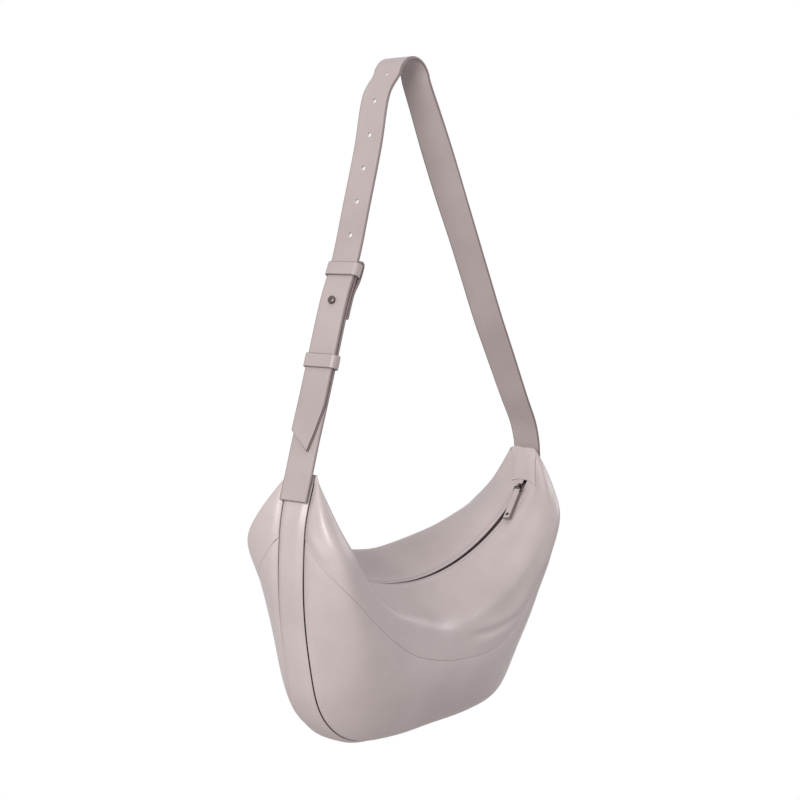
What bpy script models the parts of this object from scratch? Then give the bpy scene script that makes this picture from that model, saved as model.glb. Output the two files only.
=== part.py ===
"""Soft crescent shoulder bag of smooth leather, hanging by its strap.

Lengths are metres, angles radians, +Z is up. The origin is the underside of the strap at the top of
its arch, where the bag hangs. +X runs along the bag towards the end where the strap is plain, -X to
the end where the strap is buckled with a stud, and +Y to the back.

Every piece is drawn in the bag's own level frame, whose zero is the middle of the line between the
two strap ends, and one parent empty then hangs the whole bag from the arch with its slight tilt.
"""
import math

import bmesh
import bpy
import numpy as np
from mathutils import Matrix, Vector

# Bag body
bag_half_length = 0.175
bag_front_width = 0.048
bag_back_width = 0.052
bag_depth = 0.232
leather = 0.0016
seam_gap = 0.0004
horn_thickness = 0.0044
gusset_half_width = 0.0130
gusset_bottom_half_width = 0.0150
lean_share = 0.068
hang_tilt = math.radians(3.1)

# Zip
zip_radius_share = 1.1714
zip_radius = zip_radius_share * bag_half_length
zip_drop_share = 0.4655
zip_drop = zip_drop_share * bag_depth
zip_offset = -0.012
zip_back_shift = 0.006
zip_lean = math.radians(-4.0)
zip_yaw = math.radians(-4.5)
zip_near_angle = math.radians(-45.0)
zip_far_angle = math.radians(52.0)
zip_slot = 0.0042
zip_margin = 0.0075
zip_tape_thickness = 0.0006
zip_tooth_pitch = 0.0045
zip_tooth_length = 0.0024
zip_tooth_height = 0.0018
zip_web_gap = 0.0010
zip_bead = 0.0006
zip_stop_length = 0.0030
tooth_seat = 0.0002

# Slider and pull
slider_length = 0.0100
slider_width = 0.0072
slider_plate = 0.0009
slider_web = 0.0005
slider_clearance = 0.0004
slider_bridge_height = 0.0082
slider_bridge_length = 0.0060
slider_bridge_width = 0.0018
slider_bridge_wall = 0.0009
slider_stop_back = math.radians(2.6)
pull_hinge_height = 0.0042
pull_wire = 0.0010
pull_link_length = 0.0066
pull_link_width = 0.0092
pull_tab_length = 0.0350
pull_tab_width = 0.0066
pull_layer = 0.0009
pull_eye = 0.0017
pull_lift = math.radians(7.5)
pull_yaw = math.radians(15.0)
pull_rivet_back = 0.0040
pull_rivet_radius = 0.0017
pull_pin_radius = 0.0008
pull_pin_hole_radius = 0.0011
pull_rivet_height = 0.0007

# Strap
strap_width = 0.0280
strap_thickness = 0.0030
strap_span_share = 0.96
strap_half_span = strap_span_share * bag_half_length
strap_rise = 0.341
strap_peg_offset = -0.051
strap_arch_radius = 0.021
strap_end_lap = 0.0240
strap_gap = 0.0004
strap_end_gap = 0.0010
strap_twist = math.radians(22.0)
strap_tail_slant = 0.0120
strap_tail_reach = 0.0300
hole_pitch = 0.0285
hole_radius = 0.0022
hole_count = 8

# Lower strap's folded end, keepers and stud
fold_height = 0.1685
stud_drop = 0.0315
stud_height = fold_height - stud_drop
fold_length = 0.046
fold_taper = 0.012
lower_strap_thickness = 0.0026
keeper_length = 0.0115
keeper_wall = 0.0015
keeper_clearance = 0.0006
keeper_corner = 0.0010
lower_keeper_height = 0.089
stud_head_radius = 0.0034
stud_neck_radius = 0.0015
stud_head_height = 0.0030
stud_screw_radius = 0.0038
stud_screw_height = 0.0012
stud_shank_radius = 0.0014
stud_clearance = 0.0003

# Inside
lining_thickness = 0.0008
lining_clearance = 0.0044
facing_thickness = 0.0010
facing_rise = 0.0070
facing_gap = 0.0005

# Stations run from a horn (0) to the middle of the bag (1). Each row gives the station and then
# shares of the half length, the half width and the depth.
gusset_shares = (
    (0.00, 0.954, 0.000), (0.10, 0.997, -0.147), (0.19, 0.994, -0.280), (0.30, 0.969, -0.444),
    (0.43, 0.903, -0.640), (0.57, 0.803, -0.846), (0.72, 0.600, -0.977), (0.86, 0.295, -1.006),
    (1.00, 0.000, -1.006),
)
cheek_shares = (
    (0.00, 0.950, 0.300, 0.000), (0.10, 0.994, 0.440, -0.142), (0.19, 0.986, 0.640, -0.267),
    (0.30, 0.932, 0.640, -0.418), (0.43, 0.842, 0.640, -0.590), (0.57, 0.732, 0.640, -0.794),
    (0.72, 0.558, 0.640, -0.928), (0.86, 0.285, 0.660, -0.962), (1.00, 0.000, 0.680, -0.960),
)
front_belly_shares = (
    (0.00, 0.941, 0.305, 0.000), (0.10, 0.977, 0.640, -0.138), (0.19, 0.949, 0.940, -0.250),
    (0.30, 0.869, 1.000, -0.388), (0.43, 0.760, 1.000, -0.534), (0.57, 0.617, 1.000, -0.662),
    (0.72, 0.438, 1.000, -0.745), (0.86, 0.220, 1.000, -0.780), (1.00, 0.000, 1.000, -0.785),
)
back_belly_shares = (
    (0.00, 0.941, 0.298, 0.000), (0.10, 0.985, 0.700, -0.138), (0.19, 0.962, 1.000, -0.250),
    (0.30, 0.865, 0.930, -0.388), (0.43, 0.755, 0.910, -0.534), (0.57, 0.612, 0.940, -0.659),
    (0.72, 0.434, 0.970, -0.733), (0.86, 0.217, 0.980, -0.767), (1.00, 0.000, 0.980, -0.776),
)
front_ridge_shares = (
    (0.00, 0.931, 0.300, 0.000), (0.10, 0.914, 0.660, -0.142), (0.19, 0.840, 0.840, -0.246),
    (0.30, 0.677, 0.920, -0.388), (0.43, 0.523, 0.940, -0.483), (0.57, 0.366, 0.920, -0.534),
    (0.72, 0.217, 0.900, -0.569), (0.86, 0.103, 0.880, -0.595), (1.00, 0.000, 0.880, -0.606),
)
back_ridge_shares = (
    (0.00, 0.931, 0.290, 0.000), (0.10, 0.922, 0.610, -0.146), (0.19, 0.828, 0.830, -0.230),
    (0.30, 0.665, 0.900, -0.279), (0.43, 0.503, 0.910, -0.308), (0.57, 0.352, 0.930, -0.326),
    (0.72, 0.210, 0.940, -0.339), (0.86, 0.100, 0.950, -0.348), (1.00, 0.000, 0.950, -0.352),
)
# How far up the side the yoke seam runs, from the gusset seam (0) to the mouth (1): on the stud end
# and on the plain end.
near_seam_shares = (
    (0.145, 0.000), (0.19, 0.115), (0.24, 0.220), (0.30, 0.310), (0.43, 0.430), (0.57, 0.480),
    (0.72, 0.480), (0.86, 0.465), (1.00, 0.445),
)
far_seam_shares = (
    (0.145, 0.000), (0.19, 0.115), (0.24, 0.210), (0.30, 0.285), (0.43, 0.365), (0.57, 0.395),
    (0.72, 0.410), (0.86, 0.425), (1.00, 0.445),
)
# How far a station's lower seams are drawn in, as shares of the half length: on the stud end and on
# the plain end.
draw_shares = (
    (0.00, 0.000, 0.000), (0.19, 0.000, 0.000), (0.30, 0.000, 0.015), (0.43, 0.000, 0.035),
    (0.57, 0.010, 0.035), (0.72, 0.040, -0.020), (0.86, 0.030, -0.040), (1.00, 0.000, 0.000),
)
zip_end_station_share = 0.19
shoulder_share = 0.28
crown_share = 0.50
horn_bend_share = 0.45
slot_end_share = 0.17
facing_lean_share = -0.10
facing_top_share = 0.90
lining_top_share = 1.30
mitre_share = 0.20
tooth_phase_share = 0.25

# The long strap's route: shares of the half span and of the rise, up the stud side to the arch and
# down the plain side.
near_route_shares = (
    (-0.988, 0.065), (-0.924, 0.170), (-0.868, 0.264), (-0.784, 0.404), (-0.702, 0.506),
    (-0.636, 0.626), (-0.558, 0.772), (-0.500, 0.905),
)
far_route_shares = (
    (-0.090, 0.880), (0.036, 0.778), (0.160, 0.678), (0.285, 0.580), (0.412, 0.478),
    (0.543, 0.372), (0.690, 0.264), (0.845, 0.150), (0.955, 0.072), (0.998, 0.020),
)
# Twist along the far side of the strap, from the arch (0) to its end (1), as shares of the twist.
twist_shares = ((0.00, 0.00), (0.12, 0.35), (0.25, 1.00), (0.45, 0.70), (0.65, 0.68), (0.85, 0.30), (1.00, 0.00))

# Mesh counts
middle_stations = 34
horn_stations = 4
station_easing_share = 0.20
tip_step = 0.002
panel_rows = 5
yoke_lower_rows = 4
yoke_upper_rows = 3
gusset_columns = 3
section_samples = 80
strap_step = 0.0095
arch_steps = 10
lining_lower_rows = 5
round_sides = 20
hole_sides = 12
hole_margin = 0.0018
line_samples = 900
bend_step = math.radians(26)
pull_step = 0.0030
step = 0.004
tiny = 1e-9

colours = {
    "leather": ((0.60, 0.53, 0.52, 1.0), 0.45, 0.0),
    "edge_leather": ((0.56, 0.49, 0.48, 1.0), 0.50, 0.0),
    "lining": ((0.47, 0.42, 0.41, 1.0), 0.85, 0.0),
    "tape": ((0.30, 0.25, 0.25, 1.0), 0.80, 0.0),
    "teeth": ((0.20, 0.17, 0.17, 1.0), 0.40, 0.0),
    "metal": ((0.50, 0.46, 0.44, 1.0), 0.28, 1.0),
}


def material(slot):
    """The Principled material of one finish."""
    name = "mat_" + slot
    if name in bpy.data.materials:
        return bpy.data.materials[name]
    colour, roughness, metallic = colours[slot]
    mat = bpy.data.materials.new(name)
    mat.use_nodes = True
    shader = mat.node_tree.nodes["Principled BSDF"]
    shader.inputs["Base Color"].default_value = colour
    shader.inputs["Roughness"].default_value = roughness
    shader.inputs["Metallic"].default_value = metallic
    return mat


def unit(vectors):
    """Vectors along the last axis, made one long."""
    return vectors / np.maximum(np.linalg.norm(vectors, axis=-1, keepdims=True), tiny)


def smooth_table(where, stations, values):
    """A smooth curve through uneven stations, read at one place."""
    stations = np.asarray(stations)
    values = np.asarray(values)
    count = len(stations)
    slopes = np.zeros_like(values)
    steps = np.diff(stations)
    rises = np.diff(values, axis=0) / steps[:, None]
    slopes[0] = rises[0]
    slopes[-1] = rises[-1]
    for k in range(1, count - 1):
        before, after = steps[k - 1], steps[k]
        slopes[k] = (rises[k - 1] * after + rises[k] * before) / (before + after)
    k = int(np.clip(np.searchsorted(stations, where) - 1, 0, count - 2))
    part = (where - stations[k]) / steps[k]
    a = 2 * part**3 - 3 * part**2 + 1
    b = part**3 - 2 * part**2 + part
    c = 3 * part**2 - 2 * part**3
    d = part**3 - part**2
    return a * values[k] + b * steps[k] * slopes[k] + c * values[k + 1] + d * steps[k] * slopes[k + 1]


def mirrored(rows, signs):
    """A table from horn to middle, carried on to the other horn."""
    near = [(row[0] - 1.0,) + tuple(v * s for v, s in zip(row[1:], signs)) for row in rows]
    far = [(1.0 - row[0],) + tuple(row[1:]) for row in reversed(rows[:-1])]
    table = np.array(near + far)
    return table[:, 0], table[:, 1:]


half_widths = {-1: bag_front_width, 1: bag_back_width}
gusset_table = mirrored(gusset_shares, (-1, 1))
cheek_table = mirrored(cheek_shares, (-1, 1, 1))
belly_tables = {
    -1: mirrored(front_belly_shares, (-1, 1, 1)),
    1: mirrored(back_belly_shares, (-1, 1, 1)),
}
ridge_tables = {
    -1: mirrored(front_ridge_shares, (-1, 1, 1)),
    1: mirrored(back_ridge_shares, (-1, 1, 1)),
}
seam_table = (
    np.array([row[0] - 1 for row in near_seam_shares] + [1 - row[0] for row in reversed(far_seam_shares[:-1])]),
    np.array([row[1:] for row in near_seam_shares] + [row[1:] for row in reversed(far_seam_shares[:-1])]),
)
draw_table = (
    np.array([row[0] - 1 for row in draw_shares] + [1 - row[0] for row in reversed(draw_shares[:-1])]),
    np.array([row[1:2] for row in draw_shares] + [(-row[2],) for row in reversed(draw_shares[:-1])]),
)
seam_tip = 1.0 - near_seam_shares[0][0]


def leaning(point):
    """A point of the level bag after its lower part has swung towards the stud end."""
    point[0] += lean_share * point[2]
    return point


def side_point(table, where, side):
    """A table's point at one station, on the front (-1) or the back (1)."""
    along, out, down = smooth_table(where, *table)
    if table is cheek_table:
        along += smooth_table(where, *draw_table)[0]
    return leaning(np.array([along * bag_half_length, side * out * half_widths[side], down * bag_depth]))


def gusset_point(where, across):
    """A point of the gusset's outer face. across runs from -1 at the front seam to 1."""
    along, down = smooth_table(where, *gusset_table)
    along += smooth_table(where, *draw_table)[0]
    widening = (gusset_bottom_half_width - gusset_half_width) * min(1.0, max(0.0, -down))**2
    horn = max(0.0, 1.0 + down / -gusset_shares[1][2]) if down > gusset_shares[1][2] else 0.0
    half = gusset_half_width + widening + horn * (strap_width / 2 - gusset_half_width)
    return leaning(np.array([along * bag_half_length, across * half, down * bag_depth]))


def gusset_normal(where):
    """The gusset's outward direction."""
    ahead = gusset_point(min(1.0, where + step), 0.0)
    behind = gusset_point(max(-1.0, where - step), 0.0)
    run = unit(ahead - behind)
    return np.array([run[2], 0.0, -run[0]])


# The zip lies on one circular arc, so the slider can turn about the arc's centre.
zip_along = np.array([math.cos(zip_yaw), math.sin(zip_yaw), 0.0])
zip_down = np.array([math.sin(zip_yaw) * math.sin(zip_lean), -math.cos(zip_yaw) * math.sin(zip_lean),
                     -math.cos(zip_lean)])
zip_axis = np.cross(zip_along, zip_down)
zip_centre = np.array([zip_offset, zip_back_shift, -zip_drop]) - zip_down * zip_radius


def zip_frame(angle):
    """Place, direction, across (to the back) and up (to the arc's centre) on the zip's arc."""
    out = math.sin(angle) * zip_along + math.cos(angle) * zip_down
    run = math.cos(angle) * zip_along - math.sin(angle) * zip_down
    return zip_centre + zip_radius * out, run, zip_axis, -out


def zip_angle(where):
    """The zip's angle at a station between its ends."""
    end = 1.0 - zip_end_station_share
    return (zip_far_angle if where > 0 else -zip_near_angle) * where / end


def mouth_point(where, side):
    """The upper edge of a yoke: at the zip's slot, and along the middle of a horn."""
    end = 1.0 - zip_end_station_share
    if abs(where) <= end:
        place, run, across, up = zip_frame(zip_angle(where))
        return place + across * side * zip_slot / 2, up
    sign = 1 if where > 0 else -1
    place, run, across, up = zip_frame(zip_angle(sign * end))
    part = (abs(where) - end) / zip_end_station_share
    top_share = gusset_shares[0][1]
    top = np.array([sign * (top_share * bag_half_length - horn_thickness), 0.0, 0.0])
    middle = place + (top - place) * horn_bend_share
    middle += -up * facing_thickness
    curve = (1 - part)**2 * place + 2 * part * (1 - part) * middle + part**2 * top
    level = np.array([-sign, 0.0, 0.0])
    gap = max(seam_gap / 2, zip_slot / 2 * (1 - part / slot_end_share))
    return curve + across * side * gap, unit(up * (1 - part) + level * part)


def section(where, side):
    """The outer line of one side at a station, from the gusset seam to the mouth."""
    seam = gusset_point(where, side)
    cheek = side_point(cheek_table, where, side)
    belly = side_point(belly_tables[side], where, side)
    ridge = side_point(ridge_tables[side], where, side)
    mouth, up = mouth_point(where, side)
    shoulder = ridge + (belly - ridge) * shoulder_share
    shoulder[1] = ridge[1] + (belly[1] - ridge[1]) * (1 + shoulder_share) / 2
    reach = min(zip_margin, np.linalg.norm(mouth - ridge) / 3)
    margin = mouth + zip_axis * side * reach
    crown = ridge + (margin - ridge) * crown_share
    line, shares = through([seam, cheek, belly, shoulder, ridge, crown, margin, mouth], section_samples)
    return line, (shares[4], shares[6])


def through(points, samples):
    """A smooth line through points, sampled evenly, and the share of its length at each point."""
    points = np.asarray(points)
    spans = np.maximum(np.linalg.norm(np.diff(points, axis=0), axis=1), tiny)
    knots = np.concatenate([[0.0], np.cumsum(np.sqrt(spans))])
    places = np.linspace(0, knots[-1], samples * 2)
    fine = np.array([smooth_table(k, knots, points) for k in places])
    lengths = np.concatenate([[0.0], np.cumsum(np.linalg.norm(np.diff(fine, axis=0), axis=1))])
    return evenly(fine, samples), np.interp(knots, places, lengths) / lengths[-1]


def evenly(line, samples):
    """A line sampled again at even lengths."""
    lengths = np.concatenate([[0.0], np.cumsum(np.linalg.norm(np.diff(line, axis=0), axis=1))])
    wanted = np.linspace(0.0, lengths[-1], samples)
    return np.stack([np.interp(wanted, lengths, line[:, i]) for i in range(3)], axis=1)


section_store = {}


def section_entry(where, side):
    """A section with its length and the shares of its ridge and margin, worked out once."""
    key = (round(where, 6), side)
    if key not in section_store:
        line, at = section(where, side)
        length = float(np.sum(np.linalg.norm(np.diff(line, axis=0), axis=1)))
        section_store[key] = (line, length, at)
    return section_store[key]


def section_line(where, side):
    """A section and its length."""
    return section_entry(where, side)[:2]


def surface(where, share, side):
    """A point of one side's outer face: share 0 at the gusset seam, 1 at the mouth."""
    line, length = section_line(where, side)
    place = np.clip(share, 0.0, 1.0) * (len(line) - 1)
    k = min(int(place), len(line) - 2)
    return line[k] + (line[k + 1] - line[k]) * (place - k)


def face_normal(where, share, side):
    """The outward direction of a side's outer face."""
    near, far = max(-1.0, where - step), min(1.0, where + step)
    low, high = max(0.0, share - 5 * step), min(1.0, share + 5 * step)
    run = surface(far, share, side) - surface(near, share, side)
    rise = surface(where, high, side) - surface(where, low, side)
    return unit(np.cross(run, rise)) * side * -1


def wall_direction(where, share, side):
    """The direction in which a side's leather has its thickness, mitred at its two edges."""
    normal = face_normal(where, share, side)
    line, length = section_line(where, side)
    from_seam = share * length
    from_mouth = (1 - share) * length
    seam_reach = min(gusset_half_width, length * mitre_share)
    mouth_reach = min(zip_margin, length * mitre_share)
    if from_seam < seam_reach:
        edge = unit(gusset_normal(where) + face_normal(where, 0.0, side))
        part = 1 - from_seam / seam_reach
        normal = unit(normal * (1 - part) + edge * part)
    if from_mouth < mouth_reach:
        mouth, up = mouth_point(where, side)
        part = 1 - from_mouth / mouth_reach
        normal = unit(normal * (1 - part) + up * part)
    return normal


def link(name, mesh, slot, parent, smooth=True):
    """An object of its own, with its finish, under its parent."""
    mesh.materials.append(material(slot))
    if smooth:
        mesh.shade_smooth()
        mesh.set_sharp_from_angle(angle=math.radians(35))
    obj = bpy.data.objects.new(name, mesh)
    bpy.context.scene.collection.objects.link(obj)
    obj.parent = parent
    return obj


def mesh_from(name, build):
    """A mesh filled by a bmesh function, with its faces turned outward."""
    bm = bmesh.new()
    build(bm)
    bmesh.ops.recalc_face_normals(bm, faces=bm.faces)
    if bm.calc_volume(signed=True) < 0:
        bmesh.ops.reverse_faces(bm, faces=bm.faces)
    bmesh.ops.triangulate(bm, faces=[f for f in bm.faces if len(f.verts) > 4])
    mesh = bpy.data.meshes.new(name)
    bm.to_mesh(mesh)
    bm.free()
    return mesh


def add_shell(bm, outer, inner, flip_from=None):
    """A closed wall between two grids of points. Cells are split the other way from flip_from on."""
    rows, columns = len(outer), len(outer[0])
    flip_from = columns if flip_from is None else flip_from
    top = [[bm.verts.new(p) for p in row] for row in outer]
    low = [[bm.verts.new(p) for p in row] for row in inner]
    for i in range(rows - 1):
        for j in range(columns - 1):
            for grid in (top, low):
                cell = (grid[i][j], grid[i + 1][j], grid[i + 1][j + 1], grid[i][j + 1])
                if j >= flip_from:
                    cell = cell[1:] + cell[:1]
                bm.faces.new(cell[:3])
                bm.faces.new((cell[0], cell[2], cell[3]))
    rim = [(i, 0) for i in range(rows)] + [(rows - 1, j) for j in range(1, columns)]
    rim += [(i, columns - 1) for i in range(rows - 2, -1, -1)] + [(0, j) for j in range(columns - 2, 0, -1)]
    for k, (i, j) in enumerate(rim):
        m, n = rim[(k + 1) % len(rim)]
        if (m, n) > (i, j):
            bm.faces.new((top[i][j], top[m][n], low[m][n]))
            bm.faces.new((top[i][j], low[m][n], low[i][j]))
        else:
            bm.faces.new((top[i][j], top[m][n], low[i][j]))
            bm.faces.new((top[m][n], low[m][n], low[i][j]))


def shell_object(name, slot, parent, outer, inner, flip_from=None):
    """An object made of one closed wall."""
    return link(name, mesh_from(name, lambda bm: add_shell(bm, outer, inner, flip_from)), slot, parent)


def side_shell(name, slot, parent, side, stations, shares_at, depth, wall):
    """A leather or cloth piece of one side. shares_at gives the shares of its rows at a station."""
    outer, inner = [], []
    for where in stations:
        shares = shares_at(where)
        points = [surface(where, share, side) for share in shares]
        ways = [wall_direction(where, share, side) for share in shares]
        outer.append([p - w * depth for p, w in zip(points, ways)])
        inner.append([p - w * (depth + wall) for p, w in zip(points, ways)])
    return shell_object(name, slot, parent, outer, inner)


def inset(where, side, length):
    """A length along a section, as a share of it."""
    return length / section_line(where, side)[1]


def seam_share(where, side):
    """Where the yoke seam crosses a section: on the gusset seam beyond its tips."""
    if abs(where) > seam_tip:
        return 0.0
    tip = inset(where, side, leather)
    return max(tip, float(smooth_table(where, *seam_table)[0]))


def yoke_shares(side):
    """The yoke's rows: from its seam to the ridge, on to the zip's margin and to the mouth."""
    def shares_at(where):
        ridge, margin = section_entry(where, side)[2]
        low = seam_share(where, side) + inset(where, side, seam_gap / 2)
        lower = list(np.linspace(low, ridge, yoke_lower_rows + 1))
        upper = list(np.linspace(ridge, margin, yoke_upper_rows + 1)[1:])
        return lower + upper + [1.0]
    return shares_at


def panel_shares(side):
    """The body panel's rows, from the gusset seam to the yoke seam."""
    def shares_at(where):
        gap = inset(where, side, seam_gap / 2)
        return list(np.linspace(gap, seam_share(where, side) - gap, panel_rows + 1))
    return shares_at


def lining_shares(side):
    """The lining's rows, from the gusset to the hem under the zip's tape."""
    def shares_at(where):
        ridge, margin = section_entry(where, side)[2]
        lower = list(np.linspace(inset(where, side, leather), ridge, lining_lower_rows + 1))
        return lower + list(np.linspace(ridge, margin, yoke_upper_rows + 1)[1:])
    return shares_at


def body_station_list():
    """Stations from horn to horn: close on the horns, and one on each side of a seam tip."""
    middle = seam_tip * np.linspace(-1.0, 1.0, middle_stations + 1)
    middle = middle * (1 + station_easing_share * (1 - (middle / seam_tip)**2))
    for end in (zip_end_station_share - 1.0, 1.0 - zip_end_station_share):
        middle[int(np.argmin(np.abs(middle - end)))] = end
    horn = np.linspace(1.0, seam_tip + tip_step, horn_stations + 1)
    return list(-horn) + list(middle) + list(horn[::-1])


def build_body(parent):
    """Yokes, body panels and the gusset strip."""
    stations = body_station_list()
    middle = [where for where in stations if abs(where) <= seam_tip + tiny]
    for side, word in ((-1, "front"), (1, "back")):
        side_shell(word + "_yoke", "leather", parent, side, stations, yoke_shares(side), 0.0, leather)
        side_shell(word + "_body_panel", "leather", parent, side, middle, panel_shares(side), 0.0, leather)
    outer, inner = [], []
    for where in stations:
        normal = gusset_normal(where)
        half = gusset_point(where, 1.0)[1]
        row_out, row_in = [], []
        for k in range(gusset_columns + 1):
            across = -1 + 2 * k / gusset_columns
            trimmed = across * (1 - seam_gap / 2 / half)
            point = gusset_point(where, trimmed)
            way = normal
            if k in (0, gusset_columns):
                way = unit(normal + face_normal(where, 0.0, -1 if k == 0 else 1))
            row_out.append(point)
            row_in.append(point - way * leather)
        outer.append(row_out)
        inner.append(row_in)
    shell_object("gusset_strip", "leather", parent, outer, inner)


def build_linings(parent):
    """Two lining cloths, meeting along the middle of the gusset and hung under the tapes."""
    depth = leather + lining_clearance
    hem = leather + seam_gap + zip_tape_thickness + seam_gap
    limit = 1.0 - zip_end_station_share * lining_top_share
    stations = [w for w in body_station_list() if abs(w) < limit]
    for side, word in ((-1, "front"), (1, "back")):
        outer, inner = [], []
        for where in stations:
            way = gusset_normal(where)
            start = gusset_point(where, side * seam_gap / gusset_half_width) - way * depth
            row_out, row_in = [start], [start - way * lining_thickness]
            shares = lining_shares(side)(where)
            for share in shares:
                point = surface(where, share, side)
                way = wall_direction(where, share, side)
                deep = hem if share == shares[-1] else depth
                row_out.append(point - way * deep)
                row_in.append(point - way * (deep + lining_thickness))
            outer.append(row_out)
            inner.append(row_in)
        shell_object(word + "_lining", "lining", parent, outer, inner)


def build_facings(parent):
    """The leather patch on the inner side of each horn, from the strap to the zip's end."""
    end = 1.0 - zip_end_station_share
    for sign, word in ((-1, "near"), (1, "far")):
        outer, inner = [], []
        for where in (w for w in body_station_list() if w * sign > end):
            row_out, row_in = [], []
            for side in (-1, 1):
                shares = yoke_shares(side)(where)[yoke_lower_rows:]
                if side > 0:
                    shares = shares[::-1]
                for share in shares:
                    point = surface(where, share, side)
                    way = wall_direction(where, share, side)
                    row_in.append(point + way * facing_gap)
                    row_out.append(point + way * (facing_gap + facing_thickness))
            outer.append(row_out)
            inner.append(row_in)
        rise = np.array([-sign * facing_rise * facing_lean_share, 0.0, facing_rise])
        narrow = np.array([1.0, facing_top_share, 1.0])
        for rows in (outer, inner):
            if sign < 0:
                rows.insert(0, [p * narrow + rise for p in rows[0]])
            else:
                rows.append([p * narrow + rise for p in rows[-1]])
        shell_object(word + "_horn_facing", "leather", parent, outer, inner, yoke_upper_rows + 1)


def zip_box(bm, angle, half_run, low_across, high_across, low_up, high_up):
    """A block in the zip's own directions at one angle. Up is measured from the mouth's face."""
    place, run, across, up = zip_frame(angle)
    corners = []
    for r in (-half_run, half_run):
        for a in (low_across, high_across):
            for h in (low_up, high_up):
                corners.append(bm.verts.new(place + run * r + across * a + up * h))
    for quad in ((0, 1, 3, 2), (4, 6, 7, 5), (0, 4, 5, 1), (2, 3, 7, 6), (0, 2, 6, 4), (1, 5, 7, 3)):
        bm.faces.new([corners[k] for k in quad])


plate_top = -(leather + slider_clearance)
teeth_top = plate_top - slider_plate - slider_clearance
teeth_low = teeth_top - zip_tooth_height
tape_top = teeth_top - (zip_tooth_height - zip_tape_thickness) / 2


def build_zip(parent):
    """Tapes, teeth and end stops. The tapes dip under the mouth's edges, so the slider can pass."""
    end = 1.0 - zip_end_station_share
    stations = [w for w in body_station_list() if abs(w) <= end]
    for side, word in ((-1, "front"), (1, "back")):
        outer, inner = [], []
        for where in stations:
            row_out, row_in = [], []
            for part, share in ((1.0, section_entry(where, side)[2][1]), (0.0, 1.0)):
                point = surface(where, share, side)
                way = wall_direction(where, share, side)
                deep = -tape_top * (1 - part) + (leather + seam_gap) * part
                row_out.append(point - way * deep)
                row_in.append(point - way * (deep + zip_tape_thickness))
            outer.append(row_out)
            inner.append(row_in)
        shell_object("zip_tape_" + word, "tape", parent, outer, inner)
    first = zip_near_angle + zip_stop_length / zip_radius
    last = zip_far_angle - zip_stop_length / zip_radius
    count = int((last - first) * zip_radius / zip_tooth_pitch)
    pitch = (last - first) / count
    half_tooth = zip_tooth_length / zip_radius / 2
    for side, word in ((-1, "front"), (1, "back")):
        offset = tooth_phase_share if side < 0 else 1 - tooth_phase_share
        edges = [first]
        for k in range(count):
            centre = first + (k + offset) * pitch
            edges += [centre - half_tooth, centre + half_tooth]
        edges.append(last)
        link("zip_teeth_" + word, mesh_from("zip_teeth_" + word, lambda bm: add_comb(bm, edges, side)),
             "teeth", parent, smooth=False)
    for sign, word in ((-1, "near"), (1, "far")):
        angle = zip_far_angle if sign > 0 else zip_near_angle
        angle -= sign * zip_stop_length / 2 / zip_radius
        half = zip_slot / 2 - tooth_seat
        name = "zip_stop_" + word
        link(name, mesh_from(name, lambda bm: zip_box(
            bm, angle, zip_stop_length / 2 - tooth_seat, -half, half, teeth_low, teeth_top)),
            "metal", parent, smooth=False)


def add_comb(bm, edges, side):
    """One row of teeth on its beaded edge: a closed plate along the arc, cut away between teeth."""
    columns = [side * across for across in (zip_web_gap / 2, zip_slot / 2 - tooth_seat - zip_bead,
                                            zip_slot / 2 - tooth_seat)]
    grid = {}
    for i, angle in enumerate(edges):
        place, run, across, up = zip_frame(angle)
        for j, column in enumerate(columns):
            for k, height in enumerate((teeth_low, teeth_top)):
                grid[i, j, k] = place + across * column + up * height
    verts = {}

    def vert(*key):
        if key not in verts:
            verts[key] = bm.verts.new(grid[key])
        return verts[key]

    cells = {(i, 1) for i in range(len(edges) - 1)} | {(i, 0) for i in range(1, len(edges) - 1, 2)}
    for i, j in cells:
        for k in (0, 1):
            bm.faces.new((vert(i, j, k), vert(i + 1, j, k), vert(i + 1, j + 1, k), vert(i, j + 1, k)))
        for (a, b), (c, d), beside in (((i, j), (i + 1, j), (i, j - 1)), ((i, j + 1), (i + 1, j + 1), (i, j + 1)),
                                       ((i, j), (i, j + 1), (i - 1, j)), ((i + 1, j), (i + 1, j + 1), (i + 1, j))):
            if beside not in cells:
                bm.faces.new((vert(a, b, 0), vert(c, d, 0), vert(c, d, 1), vert(a, b, 1)))


def flat(x, z):
    """A point in the strap's plane."""
    return np.array([x, 0.0, z])


def strap_route():
    """The middle line of the long strap, from its tail up to the arch and down to its sewn end."""
    near = [flat(a * strap_half_span, b * strap_rise) for a, b in near_route_shares]
    centre = flat(strap_peg_offset, strap_rise - strap_arch_radius)
    turns = np.linspace(-math.pi * 0.42, math.pi * 0.42, arch_steps + 1)
    arch = [centre + strap_arch_radius * flat(math.sin(a), math.cos(a)) for a in turns]
    far = [flat(a * strap_half_span, b * strap_rise) for a, b in far_route_shares]
    return near + arch + far + end_lap(1, strap_thickness)


def end_lap(sign, thickness):
    """The middle line of a strap's end, laid down the outside of the gusset from the horn's top."""
    points = []
    for where in np.linspace(1.0, 1.0 - 2 * gusset_shares[1][0], 30) * sign:
        point = gusset_point(where, 0.0)
        points.append(point + gusset_normal(where) * (strap_end_gap + thickness / 2))
    points = [p for p in points if p[2] > -strap_end_lap - tiny]
    return points


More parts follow.
